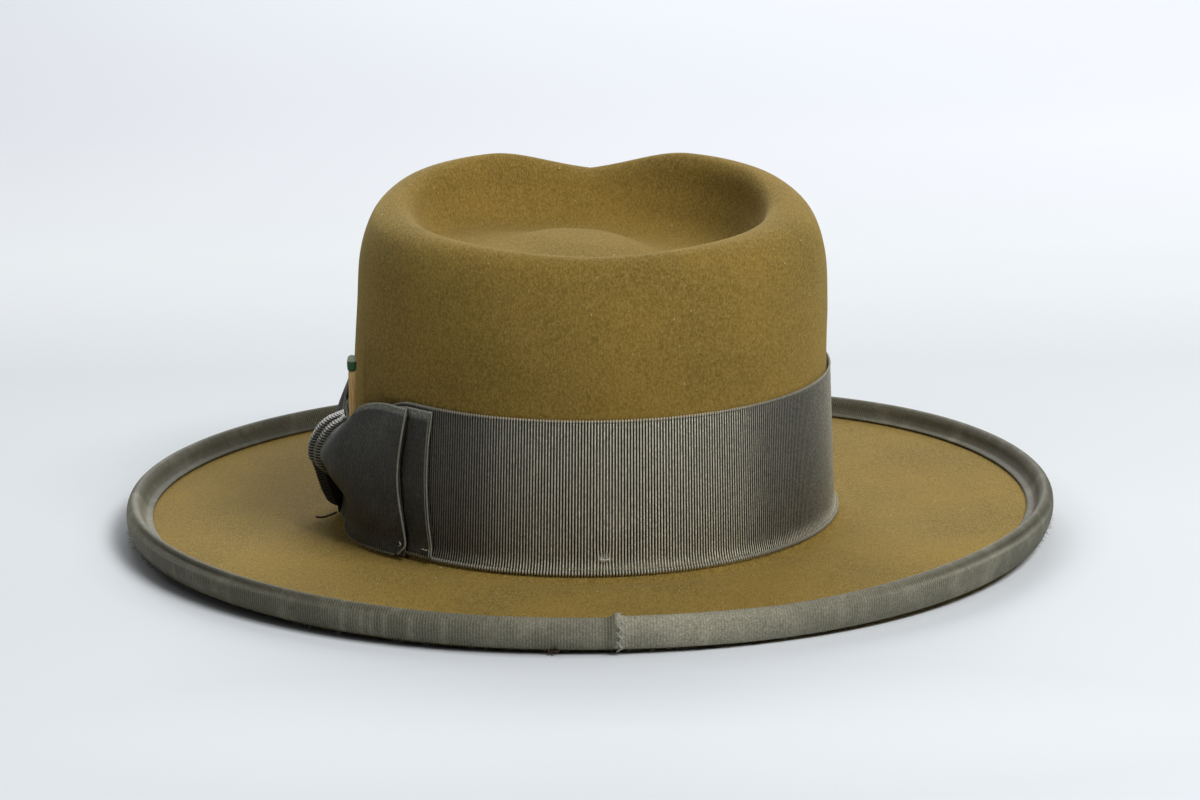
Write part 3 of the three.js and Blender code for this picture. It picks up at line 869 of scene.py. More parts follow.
# The edge ribbon: a loop of section, the covered line moved out to its face and back along its inside,
# carried round the brim
def makeEdgeRibbon():
    columns = edgeRibbon["columns"]
    angle = 2 * np.pi * np.arange(columns) / columns
    degrees = np.degrees(angle)
    covered = coveredLine()
    place = np.linspace(0, 1, len(covered))
    relief, worn = edgeRelief(degrees[None, :], place[:, None])
    faded = easeStep(np.minimum(place, 1 - place) / edgeRibbon["edgeFade"])[:, None]
    outward = offsetLine(covered, 1.0) - covered
    distance = edgeRibbon["gap"] + edgeRibbon["thickness"] + relief * faded
    outer = covered[:, None] + outward[:, None] * distance[..., None]
    hem = edgeRibbon["hem"]
    drop = hem["drop"] * bell(degrees - hem["angle"], hem["spread"])
    outer[..., 1] = outer[..., 1] - drop * easeStep((place - hem["from"]) / hem["over"])[:, None]
    inner = offsetLine(covered, edgeRibbon["gap"])[:: -edgeRibbon["innerSteps"]]
    inner = np.broadcast_to(inner[:, None], (len(inner), columns, 2))
    loop = np.concatenate([outer, inner])
    grid = brimPoint(angle, loop[..., 0], loop[..., 1]).transpose(1, 0, 2)
    length = lengthRound(grid[:, len(outer) // 2])
    ribs = np.round(length[-1] / edgeRibbon["ribPitch"]) * length / length[-1]
    across = lengthsAlong(loop[:, 0])
    across = np.append(across, across[-1] + edgeRibbon["closingStep"])
    uvGrid = stacked(ribs[:, None], across[None, :])
    wear = np.concatenate([worn, np.zeros(inner.shape[:2])]).T.ravel()
    material = ribbonMaterials["edgeRibbon"]
    return addLoops("edge_ribbon", grid, material, True, uvGrid, ("brim_binding",), wear)


makeEdgeRibbon()
print("edge ribbon made")

# The ribbon round the crown: heights and distances out in millimetres. Its rubbed stretches are angle, spread
# and share, and its painted light is angle and share, below 0 where painted shade darkens it from its palest,
# a painted glint at the back. Its face is a row at each share of its height, and a ruler at one height and
# distance out measures its length.
bandRibbon = {
    "clearance": 0.3,
    "thickness": 1.0,
    "foot": 11.0,
    "top": 58.0,
    "flareOut": 0.85,
    "flareHeight": 7.2,
    "dipAngle": 4,
    "dipDepth": 14,
    "dipHalfWidth": 12,
    "dipSlope": 27,
    "ribPitch": 1.03,
    "ribSteps": 6,
    "ribHeight": 0.3,
    "scallop": 0.3,
    "innerScallop": 0.8,
    "faceShares": [
        0.02, 0.05, 0.08, 0.11, 0.14, 0.18, 0.24, 0.32, 0.42, 0.52, 0.62, 0.72, 0.82, 0.9, 0.95, 0.98,
    ],
    "edgeBack": 0.3,
    "edgeShare": 0.55,
    "edgeRound": 0.25,
    "backInset": 0.6,
    "ruler": {"height": 35.0, "out": 1.0, "steps": 2880},
    "pinch": {
        "angle": 91.2,
        "height": 11.5,
        "pull": 0.4,
        "reach": 2.6,
        "reachUp": 2.6,
        "depth": 0.25,
        "softness": 1.2,
    },
    "rubbed": [[150, 44, 0.62], [90, 30, 0.3], [62, 16, 0.16]],
    "rubbedHeight": 2.6,
    "paintedLight": [
        [0, -0.6], [30, -0.76], [52, -0.78], [57.3, -0.76], [62.4, -0.65], [68.4, -0.41], [76.6, -0.25],
        [85.6, -0.16], [94.4, -0.04], [103.4, 0], [112.7, -0.09], [122.7, -0.23], [132.5, -0.63],
        [143.1, -0.72], [180, -0.5], [270, -0.35], [360, -0.6],
    ],
    "loopPaintedLight": 0.7,
    "loops": {
        "low": {"halfAxes": (0.34, 0.95, 0.5), "up": -0.25, "out": 0.2},
        "high": {"halfAxes": (0.34, 0.7, 0.4), "up": 0.2, "out": -0.05},
    },
}


# The band's upper edge: a constant height, less a dip at the bow's knot that eases out on both sides
def bandTopHeight(angle):
    fromKnot = np.abs(fromFront(angle) - fromFront(np.radians(bandRibbon["dipAngle"])))
    share = 1 - easeStep((fromKnot - bandRibbon["dipHalfWidth"]) / bandRibbon["dipSlope"])
    return bandRibbon["top"] - bandRibbon["dipDepth"] * share


# A point over the band's seat: on the line between the crown's foot and the band's top by height, flared
# below the foot, and moved out along the wall's direction
def bandPoint(angle, height, out):
    angle, height, out = np.broadcast_arrays(angle, height, out)
    share = ((height - bandRibbon["foot"]) / (bandRibbon["top"] - bandRibbon["foot"]))[..., None]
    below = (bandRibbon["foot"] - height) / (bandRibbon["foot"] - bandRibbon["flareHeight"])
    flare = bandRibbon["flareOut"] * np.maximum(below, 0)
    foot, top = crownPoint(angle, 0.0), crownPoint(angle, 1.0)
    return foot + (top - foot) * share + crownNormal(angle, 0.5) * (out + flare)[..., None]


# Angles at even distances round the band, as many as given, and the length round it
def evenAngles(count):
    ruler = bandRibbon["ruler"]
    fine = np.linspace(0, 2 * np.pi, ruler["steps"] + 1)
    length = lengthsAlong(bandPoint(fine, ruler["height"], ruler["out"]))
    return np.interp(np.arange(count) / count * length[-1], length, fine), length[-1]


# How strongly the stitch at the back draws the band's ribs in: the distance from it along the band, and a
# bell round it along and up the band
def stitchPull(angle, height):
    pinch = bandRibbon["pinch"]
    aside = (angle - math.radians(pinch["angle"])) * felt["headOval"][0]
    return aside, bell(aside, pinch["reach"]) * bell(height - pinch["height"], pinch["reachUp"])


# Painted light on the band: how much darker, as painted shade, it is than at its palest, a painted glint, by
# angle in degrees
def bandPaintedLight(degrees):
    paintedLight = np.array(bandRibbon["paintedLight"])
    return np.interp(degrees, paintedLight[:, 0], paintedLight[:, 1])


# The band: rounded ribs by the cosine of the rib number, drawn together at the stitch, with a small loop of
# thread at both ends of each rib
def makeBand():
    ribCount = int(round(evenAngles(1)[1] / bandRibbon["ribPitch"]))
    columns = ribCount * bandRibbon["ribSteps"]
    angle = evenAngles(columns)[0]
    ribNumber = np.arange(columns + 1) / bandRibbon["ribSteps"]
    rib = 0.5 + 0.5 * np.cos(2 * np.pi * ribNumber[:-1])
    low = np.full(columns, bandRibbon["flareHeight"])
    high = bandTopHeight(angle)
    seat, thickness = bandRibbon["clearance"], bandRibbon["thickness"]
    face = low + (high - low) * np.array(bandRibbon["faceShares"])[:, None]
    faceOut = np.broadcast_to(seat + thickness - bandRibbon["ribHeight"] * (1 - rib), face.shape)
    scallop = bandRibbon["scallop"] * rib
    innerScallop = scallop * bandRibbon["innerScallop"]
    lowEdge = [low - scallop, low - innerScallop]
    highEdge = [high + innerScallop, high + scallop]
    back = [high - bandRibbon["backInset"], low + bandRibbon["backInset"]]
    edgeBack = np.full(columns, seat + bandRibbon["edgeBack"])
    edgeFront = seat + thickness * bandRibbon["edgeShare"] + bandRibbon["edgeRound"] * rib
    heights = np.concatenate([lowEdge, face, highEdge, back])
    lowOut, highOut = [edgeBack, edgeFront], [edgeFront, edgeBack]
    outs = np.concatenate([lowOut, faceOut, highOut, np.full((2, columns), seat)])
    aside, pull = stitchPull(angle, heights)
    pinch = bandRibbon["pinch"]
    drawn = angle - pinch["pull"] * pull * np.tanh(aside / pinch["softness"]) / felt["headOval"][0]
    outs = np.maximum(outs - pinch["depth"] * pull, seat)
    grid = bandPoint(drawn, heights, outs).transpose(1, 0, 2)
    rowLength = np.concatenate([heights[:, 0], heights[:1, 0]])
    uvGrid = stacked(ribNumber[:, None], rowLength[None, :])
    degrees = np.degrees(angle)
    worn = sum(share * bell(degrees - place, spread) for place, spread, share in bandRibbon["rubbed"])
    worn = worn * bell(np.maximum(heights - low, 0), bandRibbon["rubbedHeight"])
    # The wear holds the rubbed lower edge and the band's painted light and shade
    wear = (worn + bandPaintedLight(degrees)).T.ravel()
    material = ribbonMaterials["bandRibbon"]
    addLoops("band_ribbon", grid, material, True, uvGrid, ("hat_band",), wear)
    ribAngle = angle[:: bandRibbon["ribSteps"]]
    ribOut = seat + thickness - bandRibbon["ribHeight"] / 2
    # The loops take a share of the band's painted light and shade
    paintedLight = bandRibbon["loopPaintedLight"] * bandPaintedLight(np.degrees(ribAngle))
    edges = {"low": np.full(ribCount, bandRibbon["flareHeight"]), "high": bandTopHeight(ribAngle)}
    for edge, height in edges.items():
        loop = bandRibbon["loops"][edge]
        centres = bandPoint(ribAngle, height + loop["up"], ribOut + loop["out"])
        axes = beadAxes(centres, loop["halfAxes"])
        addBeads("band_loops_" + edge, centres, axes, ribbonMaterials["bandLoop"], paintedLight)


makeBand()
print("band made")

# The bow: a flat ribbon on the band, two wings, a knot, folded edges, stitches and a loose thread. A place
# on it is an angle in degrees, a height and a distance out from the band's face. A spot of frost is an angle,
# a height, the spread in both and a share; where the share is below 0 it is painted shade. The knot's path is
# pairs of height and distance out.
bow = {
    "thickness": 0.8,
    "flat": {
        "from": -30,
        "gap": 0.4,
        "low": 7.4,
        "belowTop": 1.2,
        "end": [[50.9, 7.4], [50.6, 11], [49.5, 20], [48.8, 30], [48.65, 38], [49.0, 48], [49.7, 58]],
        "steps": (90, 5),
    },
    "wing": [
        [[8, 17, 1.2], [8, 20, 3.8], [8, 25, 8.0], [8, 31, 9.4], [8, 37, 6.2], [8, 40.2, 2.2]],
        [[14, 11.0, 1.4], [14, 18.6, 1.8], [14, 25.4, 9.0], [14, 31, 11.6], [14, 37.4, 8.0], [14, 41.8, 3.2]],
        [[20, 7.2, 4.0], [19.8, 16, 3.7], [20, 26, 10.2], [20, 34, 11.2], [20, 41.6, 8.2], [20, 48.0, 3.4]],
        [[27, 6.0, 4.6], [27, 15.5, 6.3], [27, 27, 7.8], [27, 37, 7.4], [27, 46, 5.8], [27, 53.2, 3.2]],
        [[35, 6.0, 4.2], [34.5, 15.5, 4.8], [34, 26, 4.8], [34, 37, 4.4], [34, 47, 3.8], [34.5, 56.0, 2.9]],
        [
            [44.2, 6.2, 2.8], [43.3, 15.5, 2.9], [41.7, 26, 2.9],
            [41.0, 36, 2.9], [41.8, 46, 2.8], [43.0, 56.4, 2.7],
        ],
    ],
    "wingSteps": (12, 16),
    "fringe": {"width": 1.3, "fade": 0.6, "share": 0.74},
    "frostAndShade": [
        [13, 34, 6, 6, 0.16],
        [22, 10, 6, 3, 0.14],
        [28, 44, 9, 7, 0.08],
        [46, 12, 3, 6, 0.05],
        [16, 14, 5, 5, -0.3],
        [-16, 45, 14, 25, -0.4],
    ],
    "frontWing": {"start": -0.2, "share": -0.83, "seat": 1.2, "out": 0.52},
    "knot": {
        "angle": 4.2,
        "halfAngle": 4.0,
        "width": 12,
        "path": [
            [42.3, 1.2], [41.4, 3.8], [39.5, 7.6], [37.0, 10.4], [34.0, 12.3], [31.0, 13.6], [27.9, 14.0],
            [24.1, 13.4], [20.3, 11.9], [15.3, 10.1], [10.9, 8.1], [8.2, 5.6], [7.0, 3.0],
        ],
        "pathSteps": 30,
        "ribSteps": 8,
        "columns": 61,
        "stripThickness": 1.3,
        "seat": 0.9,
        "ribHeight": 0.34,
        "ribPitch": 1.05,
        "pleatHalf": 0.27,
        "secondPleat": 0.46,
        "pleatDrop": 1.9,
        "dropFades": (5, 12),
        "roll": 1.9,
        "hidden": 9,
        "hollow": 7.0,
        "hollowTop": 25,
        "hollowFades": {"far": 5, "near": 9},
        "hollowFrom": (0.08, 0.1),
        "hollowShadeFrom": (0.015, 0.03),
        "hollowShade": -0.92,
        "backShade": -0.9,
        "fill": {"from": -0.7, "to": 0.62, "columns": 9, "steps": 4, "depth": 4.4, "least": 1.6},
    },
}


# A grid through rows of places, smooth both ways, as angles in degrees, heights and distances out
def smoothSheet(places, steps):
    lengthways = smoothLine(places, steps[0])
    return smoothLine(lengthways.transpose(1, 0, 2), steps[1]).transpose(1, 0, 2)


# Where a place on the bow is, moved in by a depth
def bowPoint(places, depth=0.0):
    seat = bandRibbon["clearance"] + bandRibbon["thickness"]
    return bandPoint(np.radians(places[..., 0]), places[..., 1], seat + places[..., 2] - depth)


# How worn the bow's ribbons are: a paler strip along the upper edge, and bells of frost, which are painted
# shade where their share is below 0
def bowWearAndShade(places, width):
    strip = 1 - easeStep((width[-1] - width - bow["fringe"]["width"]) / bow["fringe"]["fade"])
    worn = bow["fringe"]["share"] * strip + np.zeros(places.shape[:2])
    for angle, height, aside, upwards, share in bow["frostAndShade"]:
        worn = worn + share * bell(places[..., 0] - angle, aside) * bell(places[..., 1] - height, upwards)
    return np.clip(worn, *wearLimits)


# A ribbon from a grid of places: its face, its back a thickness further in, and rib numbers along it
def addRibbon(name, places, replaced):
    outer, inner = bowPoint(places), bowPoint(places, bow["thickness"])
    grid = np.concatenate([outer, inner[:, ::-1]], 1)
    length = lengthsAlong(outer[:, outer.shape[1] // 2])
    width = lengthsAlong(outer[len(outer) // 2])
    around = np.concatenate([width, width[::-1], [0]])
    uvGrid = stacked(length[:, None], around[None, :])
    worn = bowWearAndShade(places, width)
    wear = np.concatenate([worn, np.zeros(worn.shape)], 1).ravel()
    return addLoops(name, grid, ribbonMaterials["bowRibbon"], False, uvGrid, (replaced,), wear)


# The places of a wing, with the front one's angles mirrored and drawn together, and less raised
def wingPlaces(front):
    places = smoothSheet(bow["wing"], bow["wingSteps"])
    if front:
        wing = bow["frontWing"]
        first = places[0, 0, 0]
        places[..., 0] = wing["start"] + (places[..., 0] - first) * wing["share"]
        places[..., 2] = wing["seat"] + (places[..., 2] - wing["seat"]) * wing["out"]
    return places


# The places of the flat ribbon: even steps from its hidden end to its folded end, and from its lower edge to
# just below the band's top
def flatPlaces():
    flat = bow["flat"]
    lengthways, across = flat["steps"]
    share = np.linspace(0, 1, lengthways)[:, None]
    end = smoothLine(flat["end"], across)
    angle = flat["from"] + (end[:, 0] - flat["from"]) * share
    high = bandTopHeight(np.radians(angle)) - flat["belowTop"]
    height = flat["low"] + (high - flat["low"]) * np.linspace(0, 1, len(end))[None, :]
    out = np.full(angle.shape, flat["gap"] + bow["thickness"])
    return np.stack([angle, height, out], -1)


# How far a pleat of the knot lies below its ridge: a rounded arch across the strip
def pleatArch(across, start):
    knot = bow["knot"]
    fromRidge = np.abs((across - start) / knot["pleatHalf"] - 1)
    return knot["roll"] * (1 - np.sqrt(np.clip(1 - fromRidge**3, 0, 1)))


# The knot: a strip carried over the bow along its path. Across it two rounded pleats lie side by side, the
# camera's one lower, and ribs cross it at each pitch. Below, it opens into a hollow, and painted shade
# darkens the hollow and the strip's back.
def makeKnotStrip():
    knot = bow["knot"]
    dense = smoothLine(knot["path"], knot["pathSteps"])
    length = lengthsAlong(dense)
    ribCount = int(length[-1] / knot["ribPitch"])
    rowLength = np.linspace(0, length[-1], ribCount * knot["ribSteps"] + 1)
    height = np.interp(rowLength, length, dense[:, 0])[:, None]
    out = np.interp(rowLength, length, dense[:, 1])[:, None]
    ribNumber = rowLength / knot["ribPitch"]
    rib = (0.5 + 0.5 * np.cos(2 * np.pi * ribNumber))[:, None]
    across = np.linspace(0, 1, knot["columns"])[None, :]
    fadeIn, fadeOut = knot["dropFades"]
    ends = easeStep(rowLength / fadeIn)[:, None] * easeStep((length[-1] - rowLength) / fadeOut)[:, None]
    below = knot["hollowTop"] - height
    lowPart = easeStep(below / knot["hollowFades"]["far"])
    hollowStart, hollowEase = knot["hollowFrom"]
    hollow = lowPart * easeStep((across - hollowStart) / hollowEase)
    farPleat = pleatArch(across, 0) + knot["hollow"] * hollow
    nearPleat = pleatArch(across, knot["secondPleat"]) + knot["pleatDrop"] * ends
    nearPleat = nearPleat + knot["hollow"] * easeStep(below / knot["hollowFades"]["near"])
    hidden = knot["roll"] + knot["hidden"]
    farPleat = np.where(across > 2 * knot["pleatHalf"], hidden, farPleat)
    nearPleat = np.where(across < knot["secondPleat"], hidden, nearPleat)
    out = out - np.minimum(farPleat, nearPleat) - knot["ribHeight"] * (1 - rib)
    places = stacked(knot["angle"] + knot["halfAngle"] * (2 * across - 1), height, out)
    outer = bowPoint(places)
    places[..., 2] = np.maximum(places[..., 2] - knot["stripThickness"], knot["seat"])
    grid = np.concatenate([outer, bowPoint(places)[:, ::-1]], 1)
    width = np.linspace(0, knot["width"], knot["columns"])
    uvGrid = stacked(ribNumber[:, None], np.concatenate([width, width[::-1], [0]])[None, :])
    # Painted shade: the hollow's lower part and the strip's back are darkened
    shadeStart, shadeEase = knot["hollowShadeFrom"]
    hollowShade = knot["hollowShade"] * lowPart * easeStep((across - shadeStart) / shadeEase)
    wear = np.concatenate([hollowShade, np.full(hollowShade.shape, knot["backShade"])], 1).ravel()
    material = ribbonMaterials["knotRibbon"]
    addLoops("knot_strip", grid, material, False, uvGrid, ("bow_knot",), wear)


# Painted shade: a near-black fold that fills the knot, a narrower strip below its path, down to its seat
def makeKnotFill():
    knot, fill = bow["knot"], bow["knot"]["fill"]
    angles = knot["angle"] + np.linspace(fill["from"], fill["to"], fill["columns"]) * knot["halfAngle"]
    path = smoothLine(knot["path"], fill["steps"])
    places = stacked(angles, path[:, :1], np.maximum(path[:, 1:] - fill["depth"], fill["least"]))
    outer = bowPoint(places)
    places[..., 2] = knot["seat"]
    grid = np.concatenate([outer, bowPoint(places)[:, ::-1]], 1)
    uvGrid = np.zeros((grid.shape[0], grid.shape[1] + 1, 2))
    addLoops("knot_fill", grid, ribbonMaterials["shadedHollowRibbon"], False, uvGrid)


backWing = wingPlaces(False)
frontWing = wingPlaces(True)
bowFlat = flatPlaces()
addRibbon("bow_flat", bowFlat, "bow_under_layer")
addRibbon("back_wing", backWing, "bow_wing_back")
addRibbon("front_wing", frontWing, "bow_wing_front")
makeKnotStrip()
makeKnotFill()
print("bow made")

# Small things on the ribbons, as places: angles in degrees, heights and distances out from the band's face
trims = {
    "fold": [
        [43.0, 56.4, 2.9], [42.0, 48, 3.1], [41.1, 38, 3.2], [41.0, 31.5, 3.2], [41.8, 24.5, 3.2],
        [42.9, 18, 3.1], [44.0, 11.5, 3.0], [44.2, 9.6, 3.0], [43.4, 7.8, 3.1], [42.4, 6.2, 3.0],
    ],
    "foldRadius": 0.34,
    "doubleFold": [
        [49.7, 57.6, 1.4], [49.0, 48, 1.5], [48.65, 38, 1.5], [48.8, 30, 1.5],
        [49.5, 20, 1.5], [50.6, 11, 1.5], [50.9, 7.4, 1.4],
    ],
    "doubleRadius": 0.27,
    "doubleApart": 1.0,
    "foldSteps": 8,
    "stitches": [
        [[42.4, 10.8, 3.2], [43.1, 10.0, 3.4], [42.5, 9.2, 3.2]],
        [[48.2, 9.6, 1.4], [48.6, 9.9, 1.6], [49.0, 9.8, 1.4]],
        [[49.3, 9.6, 1.5], [49.6, 9.9, 1.7], [49.9, 9.7, 1.5]],
        [[90.1, 11.8, 0.1], [91.2, 11.5, 0.6], [92.3, 11.9, 0.1]],
    ],
    "stitchRadius": 0.22,
    "stitchSteps": 6,
    "thread": [[8.5, 8.0, 2.6], [8.6, 6.8, 5.0], [8.2, 5.8, 7.6], [7.6, 5.7, 9.6]],
    "threadRadius": 0.4,
    "loopPitch": 1.15,
    "loopHalfAxes": (0.42, 0.6, 0.5),
    "loopsFrom": {"top": 4, "bottom": 14, "bottomEnd": 3},
}


# Round edges along the folds, stitches, a loose thread, and small loops along the ribbons' free edges
def makeTrims():
    pale = ribbonMaterials["foldEdge"]
    fold = bowPoint(smoothLine(trims["fold"], trims["foldSteps"]))
    addTubes("fold_edge", [fold], roundedRadii(len(fold), trims["foldRadius"]), 10, pale)
    double = smoothLine(trims["doubleFold"], trims["foldSteps"])
    aside = np.degrees(trims["doubleApart"] / felt["headOval"][1])
    pair = [bowPoint(double + np.array([side * aside, 0, 0])) for side in (-0.5, 0.5)]
    addTubes("fold_pair", pair, roundedRadii(len(double), trims["doubleRadius"]), 8, pale)
    stitches = [bowPoint(smoothLine(places, trims["stitchSteps"])) for places in trims["stitches"]]
    radii = roundedRadii(len(stitches[0]), trims["stitchRadius"])
    addTubes("ribbon_stitches", stitches, radii, 6, ribbonMaterials["paleThread"])
    thread = bowPoint(smoothLine(trims["thread"], trims["foldSteps"]))
    radii = roundedRadii(len(thread), trims["threadRadius"])
    addTubes("loose_thread", [thread], radii, 8, ribbonMaterials["darkThread"])
    top, bottom, bottomEnd = trims["loopsFrom"].values()
    backEdges = [backWing[top:, -1], backWing[bottom:-bottomEnd, 0]]
    frontEdges = [frontWing[top:, -1], frontWing[bottom:, 0]]
    edges = [*backEdges, *frontEdges, bowFlat[:, -1], bowFlat[:, 0]]
    centres = [evenPoints(bowPoint(edge, bow["thickness"] / 2), trims["loopPitch"]) for edge in edges]
    axes = np.concatenate([beadAxes(line, trims["loopHalfAxes"]) for line in centres])
    addBeads("bow_loops", np.concatenate(centres), axes, ribbonMaterials["bowLoop"])


makeTrims()
print("folds, stitches and loops made")

# Loose fibres: lint on the felt, frayed ends along the edge ribbon's lower edge, a brown tuft and the thread
# that sews the ribbon's seam. Angles are degrees and lengths millimetres, and pairs are the least and the
# most. A spread of directions is a share of the fibre's own.
lint = {
    "seed": 7,
    "clear": 0.1,
    "sides": 4,
    "felt": {
        "brim": 60,
        "crown": 36,
        "insets": (12, 66),
        "brimHeight": 5.15,
        "levels": (1.3, 12),
        "length": (0.4, 1.2),
        "radius": 0.06,
        "lift": 0.08,
        "rise": 0.12,
        "bend": 0.5,
        "taper": (0.7, 1.0, 1.0, 0.5),
    },
    "taper": (1.0, 0.9, 0.8, 0.5),
    "frayed": {
        "count": 900,
        "insets": (0.2, 1.3),
        "heights": (1.6, 2.4),
        "out": 0.5,
        "lean": (0.5, 0.4),
        "spread": 0.6,
        "bend": 0.3,
        "length": (0.5, 1.9),
        "share": 0.8,
        "radius": 0.07,
    },
    "tuft": {
        "count": 30,
        "angle": 84.0,
        "angleSpread": 0.3,
        "inset": 0.9,
        "height": 1.7,
        "lean": (0.9, 0.4),
        "spread": 0.5,
        "bend": 0.4,
        "length": (1.2, 2.6),
        "radius": 0.091,
    },
    "seam": {
        "angle": 91.3,
        "count": 9,
        "radius": 0.4,
        "length": 2.4,
        "steps": 6,
        "from": 0.4,
        "to": 0.94,
        "slant": 0.45,
        "rowsPerMm": 2.2,
        "risen": 0.6,
        "over": 0.3,
    },
}


# Curved fibres: each starts at a point, leaves along a direction and bends towards another as a parabola
def fibreLines(starts, directions, bends, lengths, steps=4):
    share = np.linspace(0, 1, steps)[None, :, None]
    length = lengths[:, None, None]
    return starts[:, None] + length * (directions[:, None] * share + bends[:, None] * share**2)


# Random unit directions, mostly along a surface whose outward directions are given
def alongSurface(chance, outwards, rise):
    free = chance.normal(size=outwards.shape)
    flat = free - outwards * np.sum(free * outwards, -1, keepdims=True)
    return unit(unit(flat) + outwards * rise)


# Lint on the brim and the crown: short fibres that lie on the felt at random places
def makeLint():
    made = lint["felt"]
    chance = np.random.default_rng(lint["seed"])
    brimAngle = chance.uniform(0, 2 * np.pi, made["brim"])
    onBrim = brimPoint(brimAngle, chance.uniform(*made["insets"], made["brim"]), made["brimHeight"])
    upwards = np.tile([0.0, 0.0, 1.0], (made["brim"], 1))
    crownAngle = chance.uniform(0, 2 * np.pi, made["crown"])
    level = chance.uniform(*made["levels"], made["crown"])
    outwards = np.concatenate([upwards, crownNormal(crownAngle, level)])
    starts = np.concatenate([onBrim, crownPoint(crownAngle, level)]) + outwards * made["lift"]
    directions = alongSurface(chance, outwards, made["rise"])
    bends = made["bend"] * alongSurface(chance, outwards, 0.0)
    lines = fibreLines(starts, directions, bends, chance.uniform(*made["length"], len(starts)))
    radii = np.array(made["taper"]) * made["radius"]
    addTubes("felt_lint", lines, radii, lint["sides"], ribbonMaterials["paleThread"])


# Fibres that lean out and down from points near the brim's edge, and stay above what the hat stands on
def addHanging(name, made, starts, outwards, spread, bends, lengths, thread):
    downwards = np.array([0.0, 0.0, -1.0])
    out, down = made["lean"]
    lines = fibreLines(starts, unit(outwards * out + downwards * down + spread), bends, lengths)
    lines[..., 2] = np.maximum(lines[..., 2], lint["clear"])
    radii = np.array(lint["taper"]) * made["radius"]
    addTubes(name, lines, radii, lint["sides"], ribbonMaterials[thread])


# Frayed ends all along the edge ribbon's lower edge, and a brown tuft by its seam
def makeFrayedEdge():
    chance = np.random.default_rng(lint["seed"] + 1)
    made = lint["frayed"]
    angle = chance.uniform(0, 2 * np.pi, made["count"])
    inset = chance.uniform(*made["insets"], made["count"])
    starts = brimPoint(angle, inset, chance.uniform(*made["heights"], made["count"]))
    outwards = unit(starts * np.array([1.0, 1.0, 0.0]))
    spread = chance.normal(size=starts.shape) * made["spread"]
    lengths = chance.uniform(*made["length"], made["count"]) * made["share"]
    starts, bends = starts + outwards * made["out"], made["bend"] * outwards
    addHanging("frayed_edge", made, starts, outwards, spread, bends, lengths, "edgeLoop")
    made = lint["tuft"]
    angle = np.radians(made["angle"] + chance.normal(size=made["count"]) * made["angleSpread"])
    starts = brimPoint(angle, np.array(made["inset"]), made["height"])
    outwards = unit(starts * np.array([1.0, 1.0, 0.0]))
    spread = chance.normal(size=starts.shape) * made["spread"]
    lengths = chance.uniform(*made["length"], made["count"])
    bends = made["bend"] * spread
    addHanging("brown_tuft", made, starts, outwards, spread, bends, lengths, "darkThread")


# The seam's stitches: short threads down the ribbon's face, slanted to either side in turn
def makeSeamStitches():
    seam = lint["seam"]
    ribbonFace = edgeRibbon["gap"] + edgeRibbon["thickness"]
    out = ribbonFace + edgeRibbon["seam"]["rise"] * seam["risen"] + seam["over"]
    face = offsetLine(coveredLine(), out)
    rows = np.linspace(seam["from"], seam["to"], seam["count"]) * (len(face) - 1)
    share = np.linspace(-0.5, 0.5, seam["steps"])
    slant = np.where(np.arange(seam["count"]) % 2, seam["slant"], -seam["slant"])[:, None]
    place = rows[:, None] + share * seam["length"] * seam["rowsPerMm"]
    inset = np.interp(place, np.arange(len(face)), face[:, 0])
    height = np.interp(place, np.arange(len(face)), face[:, 1])
    degrees = seam["angle"] + slant * share * np.degrees(seam["length"] / felt["brimOval"][1]) * 2
    stitches = brimPoint(np.radians(degrees), inset, height)
    radii = roundedRadii(seam["steps"], seam["radius"])
    addTubes("seam_stitches", stitches, radii, 6, ribbonMaterials["seamThread"])


makeLint()
makeFrayedEdge()
makeSeamStitches()
print("lint and stitches made")

# The match: a square stick with softened edges and a rounded head, pale at its tip. The head's outline is
# pairs of a share of its radius and of its length. The paints' heights and distances are metres.
matchStick = {
    "angle": 20.5,
    "out": 3.2,
    "width": 2.25,
    "squareness": 0.35,
    "endShare": 0.93,
    "low": 23,
    "high": 68.8,
    "rows": 24,
    "sides": 16,
    "headLength": 5.4,
    "headRadius": 1.6,
    "headGap": 0.3,
    "headSides": 32,
    "headOutline": [
        [0.7, 0], [0.92, 0.02], [1.0, 0.2], [1.03, 0.45], [0.98, 0.68], [0.78, 0.88], [0.3, 0.99]
    ],
    "headSteps": 3,
}
matchFinish = {
    "grainStretch": (1.0, 1.0, 0.06),
    "grain": (2600.0, 3.0, 0.6),
    "grainRange": (0.35, 0.7),
    "wood": (paint(190, 150, 92), paint(238, 204, 142)),
    "woodBump": (0.3, 0.0002),
    "grit": (1800.0, 3.0, 0.7),
    "green": (paint(38, 72, 44), paint(64, 106, 66)),
    "grey": (paint(130, 138, 120), paint(196, 202, 184)),
    "greyHeights": (0.0667, 0.0671),
    "greyWander": 0.0008,
    "tipBump": (0.5, 0.0003),
}


